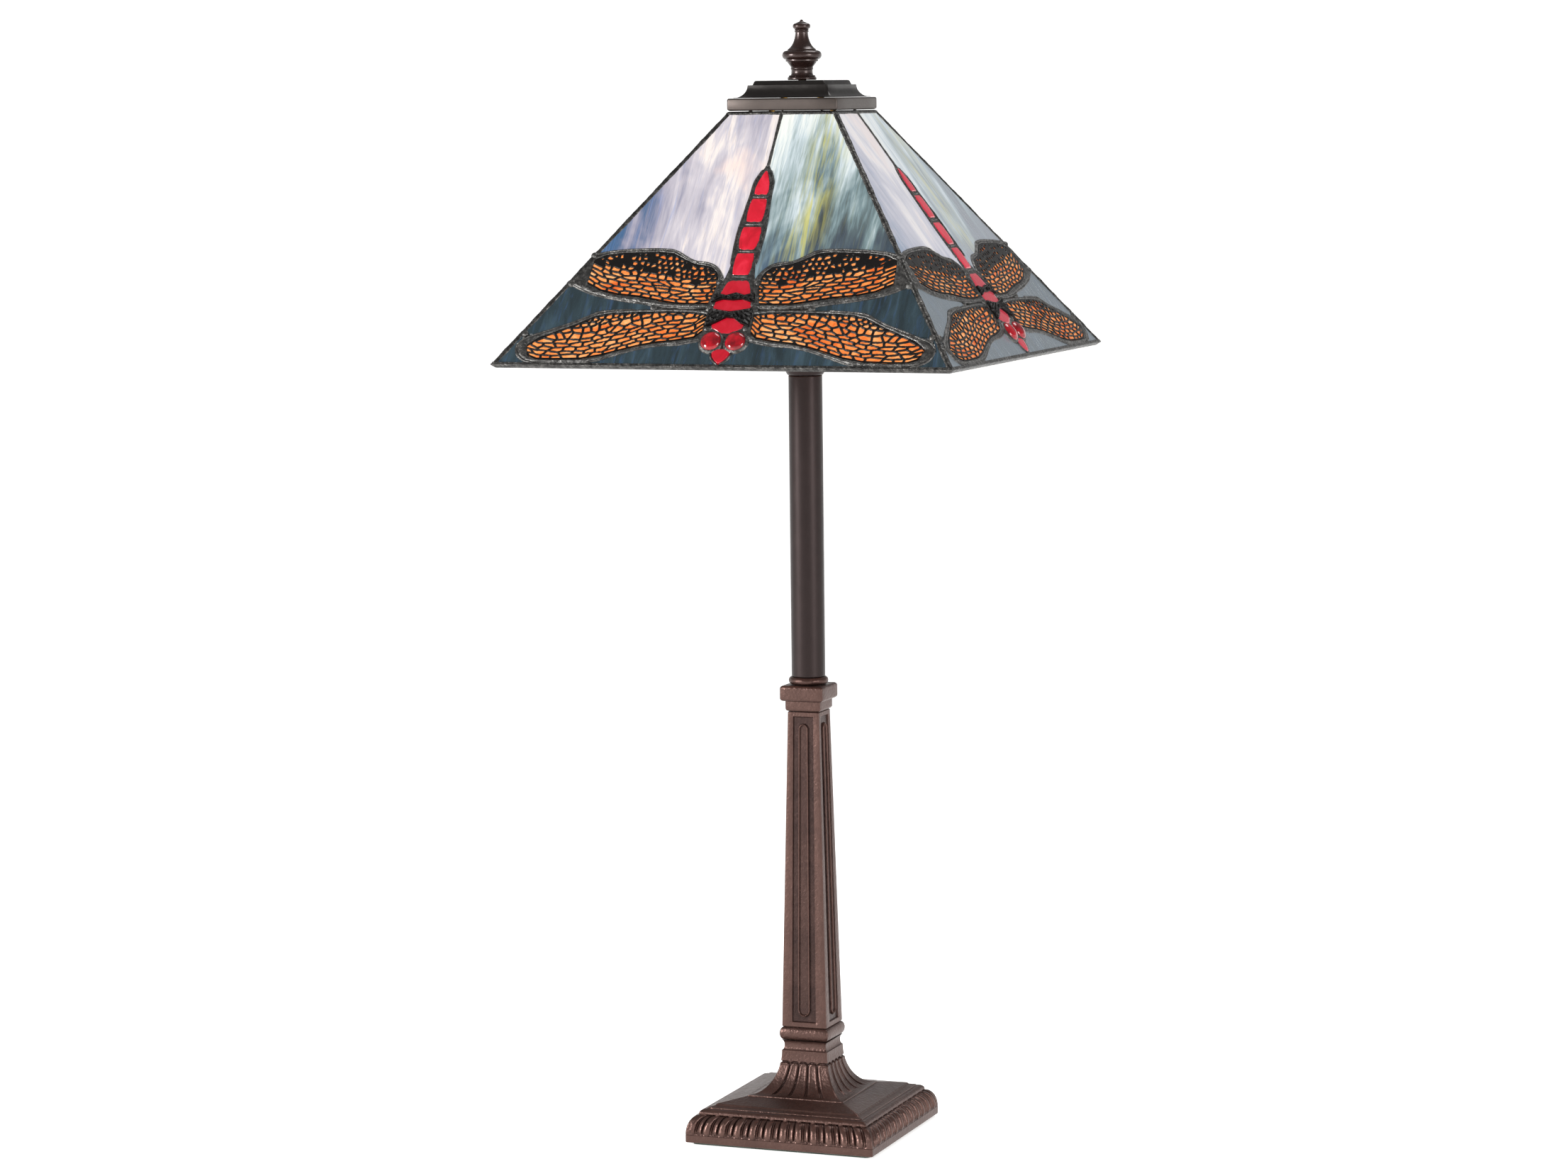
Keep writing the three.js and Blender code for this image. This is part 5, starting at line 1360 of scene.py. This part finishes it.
def panel_leads(side, shade):
    """The solder of one panel: the plate round the tail and thorax, the borders of the wings, and
    the seams between sheets."""
    lead, rise = shade.lead / MM, shade.seam_height / MM
    seed = side * 100
    parts = [pane(mirrored(PLATE_EDGE, -1), mirrored(PLATE_EDGE, 1), side, solder_plate(2.0, seed + 1),
                  -2.2,
                  (120, 22), 0)]
    parts.append(seam([(0, 174), (0, 190), (0, 208), (0, 226)], side, lead * 0.9, rise, seed + 2))
    for hand in (1, -1):
        def seamed(path, width, number, high=rise):
            return seam(mirrored(path, hand), side, width, high, seed + number + hand)
        parts += [
            border([mirrored(e, hand) for e in UPPER_OUTER], [mirrored(e, hand) for e in UPPER_INNER],
                   side, 2.5, seed + 10 + hand),
            border([mirrored(e, hand) for e in LOWER_OUTER], [mirrored(e, hand) for e in LOWER_INNER],
                   side, 2.45, seed + 14 + hand),
            seamed(WING_RIDGE, lead * 0.72, 20, rise + 0.15),
            seamed(UPPER_OUTER[0][1:], lead * 0.62, 24, rise + 0.1),
            seamed(LOWER_OUTER[1][3:], lead * 0.62, 28, rise + 0.05),
            seamed(LOWER_OUTER[0][1:9], lead * 0.62, 32, rise + 0.05),
            seamed([(161, 17.6), (158.5, 9), (151.5, 3.8), (144, 1.8)], lead * 0.75, 36),
            seamed([(157.2, 30), (156.6, 26), (157, 22)], lead * 0.8, 40),
            seamed(TAIL_EDGE[1:], lead * 0.6, 44, rise + 0.1),
            seamed([(12.5, 75), (14.5, 66), (16.4, 58), (16.8, 50), (16, 40), (13, 31)], lead * 0.75,
                   48, rise + 0.3),
            seamed([(8, 13.6), (8.0, 11), (6.6, 7.6), (3.4, 4.2), (0.2, 2)], lead * 0.62, 52),
            dome(EYES[0] * hand, EYES[1], side, 10.2, 1.4, 2.1, 0.3),
            *(dome(across * hand, up, side, radius, 0.9, tall) for across, up, radius, tall in BOSSES),
        ]
    for up in TAIL_BARS:
        parts.append(seam([(-6.8, up), (0, up - 0.3), (6.8, up)], side, 2.6, rise + 0.25,
                          seed + int(up)))
    return parts


class LAMP_OT_panels(bpy.types.Operator):
    """Build the four leaded panels: glass, etched wings, jewelled eyes and soldered seams"""
    bl_idname = "lamp.panels"
    bl_label = "Leaded Panels"

    def execute(self, context):
        shade = context.scene.lamp_shade
        finish = finishes(context.scene)
        kinds = {"sky": "sky", "dragonfly_body": "body", "wings_right": "wing", "wings_left": "wing",
                 "ground_right": "ground", "ground_left": "ground", "ground_low": "ground"}
        for side, word in enumerate(SIDES):
            for area, parts in panel_glass(side).items():
                kind = kinds[area]
                put(f"{area}_{word}", parts, "shade", finish[kind],
                    [f"glass_{word}_{area}"])
            jewels = [dome(EYES[0] * hand, EYES[1], side, 7.9, 2.6, 3.6, 0.55) for hand in (1, -1)]
            put(f"eyes_{word}", jewels, "shade", finish["jewel"])
            put(f"leads_{word}", panel_leads(side, shade), "shade", finish["solder"],
                [f"leading_{word}"], 60)
            vein = shade.vein / MM
            overlay = []
            for hand in (1, -1):
                overlay.append(filigree(*UPPER_INNER, side, hand, "upper", (205, 84), vein))
                overlay.append(filigree(*LOWER_INNER, side, hand, "lower", (250, 56), vein))
            put(f"filigree_{word}", overlay, "shade", finish["filigree"], crease=70)
            bands = []
            for edge, far in THORAX_BANDS:
                size = (90, 26)
                field = vein_field(edge, far, size, "thorax", vein) + 0.95
                bands.append(pane(edge, far, side, lambda u, v, s, t, f=field: f, 0.2, size, 0))
            put(f"thorax_bands_{word}", bands, "shade", finish["filigree"], crease=70)
        return {"FINISHED"}


class LAMP_OT_shade_frame(bpy.types.Operator):
    """Build the soldered corner beads, the rim's channel and the border round the top"""
    bl_idname = "lamp.shade_frame"
    bl_label = "Shade Frame"

    def execute(self, context):
        def slope(points):
            points = np.asarray(points, float)
            up, out = points[:, 0], points[:, 1]
            return np.stack([SHADE_HALF - up * SINE + out * COSINE,
                             SHADE_FOOT + up * COSINE + out * SINE], -1)

        shares = np.linspace(-1, 1, 121)

        def lumps(share, height, half):
            return 0.10 * np.sin(share * 37 + height) * np.sin(share * 91 - 2 * height)

        rim = slope([(-0.5, -1.7), (-0.5, 1.7), (-0.3, 2.2), (0.2, 2.35), (0.9, 2.15), (1.3, 2.3),
                     (1.9, 2.35), (2.3, 1.9), (2.3, -1.9), (1.9, -2.3), (0.2, -2.3), (-0.3, -2.1)])
        strip_top = SHADE_SLANT - 2 * math.tan(TILT)
        strip = slope([(strip_top - 3, -1.6), (strip_top - 3.0, 1.4), (strip_top - 2.4, 2.0),
                       (strip_top - 1.5, 2.3),
                       (strip_top - 0.6, 2.0), (strip_top, 1.6), (strip_top, -1.6),
                       (strip_top - 0.6, -2.0), (strip_top - 2.4, -2.0)])
        parts = [moulding(rim, lumps, shares, 0.4), moulding(strip, lumps, shares, 0.4)]
        low_half, low = slope([(0, 0)])[0]
        high_half, high = slope([(strip_top - 1.5, 0)])[0]
        for number, (x, y) in enumerate(((1, 1), (-1, 1), (-1, -1), (1, -1))):
            path = resampled([(x * low_half, y * low_half, low), (x * high_half, y * high_half, high)],
                             190)
            distance = np.linspace(0, 260, len(path))
            broad, fine = waver(distance, 7 + number), waver(distance, 31 + number, 2.5)
            radius = BEAD_RADIUS * (1 + 0.10 * broad + 0.05 * fine)
            radius = radius * np.clip(np.minimum(distance, 260 - distance) / 2 + 0.6, 0, 1)
            normal = np.array([x, -y, 0]) / math.sqrt(2)
            parts.append(wire(path, radius, 14, normal))
        put("corner_beads", parts, "shade", finishes(context.scene)["frame"], ["shade_frame"],
            60)
        return {"FINISHED"}


class LAMP_OT_cap(bpy.types.Operator):
    """Build the cap's band, its swept top and the finial"""
    bl_idname = "lamp.cap"
    bl_label = "Cap and Finial"

    def execute(self, context):
        finish = finishes(context.scene)
        low, high = bottom("cap_band"), top("cap_band")
        half = half_width("cap_band")
        band = line([[half - 2.2, low], [half - 1.3, low], [half - 1.0, low + 0.25]],
                    arc(half - 1.0, low + 1.4, 1.0, 1.0, -1, 0, 4)[1:],
                    [[half, low + 4], [half, high - 1.2], [half - 0.25, high - 0.4],
                     [half - 0.8, high]],
                    [[half - 6, high], [half - 6, high - 1.2], [half - 1.2, high - 1.2],
                     [half - 1.2, low + 1.2]])
        put("band", [moulding(band, rounding=1.5)], "shade", finish["band"], ["cap_band"])
        low, high = bottom("shade_cap"), top("shade_cap")
        foot = half_width("shade_cap")
        shoulder = low + 9.3
        sweep = arc(foot, shoulder, 8.5, 9.3, -1, -2, 14)
        inside = sweep[::-1] - [1.2, 0]
        plate = line([[foot - 0.5, low]], [[foot, low + 0.35]], sweep[1:-1], [[foot - 8.6, shoulder]],
                     [[foot - 11.3, shoulder + 0.05], [foot - 11.5, shoulder + 0.4]],
                     [[foot - 12.4, high - 0.6], [foot - 13.1, high - 0.1], [foot - 14, high]],
                     [[3.7, high], [3.7, shoulder - 1.2]], inside[:-1], [[foot - 1.2, low]])
        put("cap_top", [moulding(plate, rounding=1.3)], "shade", finish["cap"],
            ["shade_cap"])
        low = bottom("finial")
        profile = line(
            [[3.48, low], [10.0, low]], arc(10.2, low + 1.1, 0.6, 1.1, -1, 1, 8),
            arc(9.3, low + 2.8, 0.7, 0.6, -1, 1, 6),
            [[8.5, low + 3.6], [8.1, low + 4.2], [7.9, low + 7.4]],
            arc(8.1, low + 8.4, 0.35, 0.6, -1, 1, 5),
            [[8.2, low + 9.5], [9.1, low + 10.8], [10.4, low + 12.4], [11.0, low + 13.6]],
            arc(11.6, low + 14.1, 0.5, 0.5, -1, 0, 3), arc(11.2, low + 18.3, 3.5, 3.4, -0.85, 0.9, 18),
            [[10.8, low + 21.8], [10.5, low + 22.4]],
            arc(12.6, low + 36.4, 7.9, 14.2, -1.12, -1.93, 14)[1:],
            arc(4.75, low + 35.7, 0.6, 0.55, -1, 1, 6), arc(4.75, low + 36.9, 0.6, 0.5, -1, 1, 6),
            arc(4.6, low + 39.6, 2.0, 2.1, -0.9, 0.85, 12),
            [[4.0, low + 42.0], [2.4, low + 42.8], [1.5, low + 43.1]],
            arc(0.05, low + 43.4, 1.2, 1.2, 0, 0.99, 6), [[0.05, low + 12.5], [3.48, low + 12.2]])
        profile[:, 1] = np.minimum(profile[:, 1], top("finial"))
        put("finial_knob", [turned(profile, 72)], "finial", finish["finial"],
            ["finial"], 32)
        return {"FINISHED"}


# ---------------------------------------------------------------------------
# The stage
# ---------------------------------------------------------------------------

class LAMP_OT_stage(bpy.types.Operator):
    """Set the camera, the pale floor and the soft studio light"""
    bl_idname = "lamp.stage"
    bl_label = "Stage"

    def execute(self, context):
        scene = context.scene
        stage = scene.lamp_stage
        camera = bpy.data.objects.new("camera", bpy.data.cameras.new("camera"))
        scene.collection.objects.link(camera)
        camera.data.lens = stage.lens
        camera.data.sensor_width = 36
        camera.data.clip_end = 200
        away = Matrix.Translation((stage.distance * math.sin(stage.azimuth),
                                   -stage.distance * math.cos(stage.azimuth), stage.height))
        aim = Matrix.Rotation(stage.azimuth + stage.yaw, 4, "Z")
        tip = Matrix.Rotation(math.pi / 2 - stage.pitch, 4, "X")
        camera.matrix_world = away @ aim @ tip @ Matrix.Rotation(-stage.roll, 4, "Z")
        scene.camera = camera
        level, bend = 7.5, 2.5
        turn = np.linspace(0.1, 1, 12) * math.pi / 2
        radius = np.concatenate([[0.02], np.linspace(0.5, level, 15), level + bend * np.sin(turn)])
        rise = np.concatenate([np.zeros(16), bend * (1 - np.cos(turn))])
        points, faces, _ = turned(np.stack([radius, rise], -1) / MM, 96, ends="caps")
        mesh = bpy.data.meshes.new("floor")
        mesh.from_pydata(points.tolist(), [], [face.tolist() for run in faces[:-1] for face in run])
        mesh.shade_smooth()
        floor = bpy.data.objects.new("floor", mesh)
        scene.collection.objects.link(floor)
        finish, tree = blank("studio_floor")
        broad = grain(tree, object_place(tree), 2.0, 2)
        shade = ramp(tree, broad, (0.3, "f1f1f0"), (0.7, "f5f5f4"))
        close(tree, node(tree, "ShaderNodeBsdfPrincipled", {
            "Base Color": shade, "Roughness": 0.8, "Emission Color": shade, "Emission Strength": 0.72}))
        mesh.materials.append(finish)
        world = bpy.data.worlds.new("studio")
        scene.world = world
        world.use_nodes = True
        world.node_tree.nodes["Background"].inputs[0].default_value = (1.0, 1.0, 1.0, 1.0)
        world.node_tree.nodes["Background"].inputs[1].default_value = 0.27
        # name, place, disc size, power in watts, point aimed at
        lamps = (
            ("key", (-2.5, -2.5, 1.25), 0.9, 128, (0, 0, 0.45)),
            ("fill", (3.0, -1.4, 1.1), 1.4, 50, (0, 0, 0.5)),
            ("top", (0.4, 1.4, 3.2), 1.6, 34, (0, 0, 0.5)),
        )
        for name, place, size, power, aim_at in lamps:
            light = bpy.data.lights.new(name, "AREA")
            light.shape = "DISK"
            light.size = size
            light.energy = power
            holder = bpy.data.objects.new(name, light)
            scene.collection.objects.link(holder)
            holder.location = place
            away = np.array(place) - np.array(aim_at)
            flat = math.hypot(away[0], away[1])
            holder.rotation_euler = (math.atan2(flat, away[2]), 0, math.atan2(away[0], -away[1]))
        scene.view_settings.view_transform = "Standard"
        return {"FINISHED"}


# ---------------------------------------------------------------------------
# Panel and registration
# ---------------------------------------------------------------------------

STEPS = (LAMP_OT_stage, LAMP_OT_felt, LAMP_OT_stand, LAMP_OT_ballast, LAMP_OT_stem, LAMP_OT_harp,
         LAMP_OT_socket,
         LAMP_OT_bulb, LAMP_OT_shade_frame, LAMP_OT_panels, LAMP_OT_cap)
GROUPS = (("lamp_stage", StageSizes), ("lamp_stand", StandSizes), ("lamp_shade", ShadeSizes))


class LAMP_PT_sidebar(bpy.types.Panel):
    """Lists the lamp's pieces and their sizes"""
    bl_idname = "LAMP_PT_sidebar"
    bl_label = "Mission Lamp"
    bl_space_type = "VIEW_3D"
    bl_region_type = "UI"
    bl_category = "Lamp"

    def draw(self, context):
        for step in STEPS:
            self.layout.operator(step.bl_idname)
        for group, kind in GROUPS:
            box = self.layout.box()
            for name in kind.__annotations__:
                box.prop(getattr(context.scene, group), name)


def register():
    for kind in (*(kind for _, kind in GROUPS), *STEPS, LAMP_PT_sidebar):
        bpy.utils.register_class(kind)
    for group, kind in GROUPS:
        setattr(bpy.types.Scene, group, bpy.props.PointerProperty(type=kind))


def unregister():
    for group, _ in GROUPS:
        delattr(bpy.types.Scene, group)
    for kind in (LAMP_PT_sidebar, *STEPS[::-1], *(kind for _, kind in GROUPS)):
        bpy.utils.unregister_class(kind)


def main():
    """Build the lamp step by step."""
    register()
    bpy.ops.lamp.stage()
    bpy.ops.lamp.felt()
    bpy.ops.lamp.stand()
    bpy.ops.lamp.ballast()
    bpy.ops.lamp.stem()
    bpy.ops.lamp.harp()
    bpy.ops.lamp.socket()
    bpy.ops.lamp.bulb()
    bpy.ops.lamp.shade_frame()
    bpy.ops.lamp.panels()
    bpy.ops.lamp.cap()


if __name__ == "__main__":
    main()
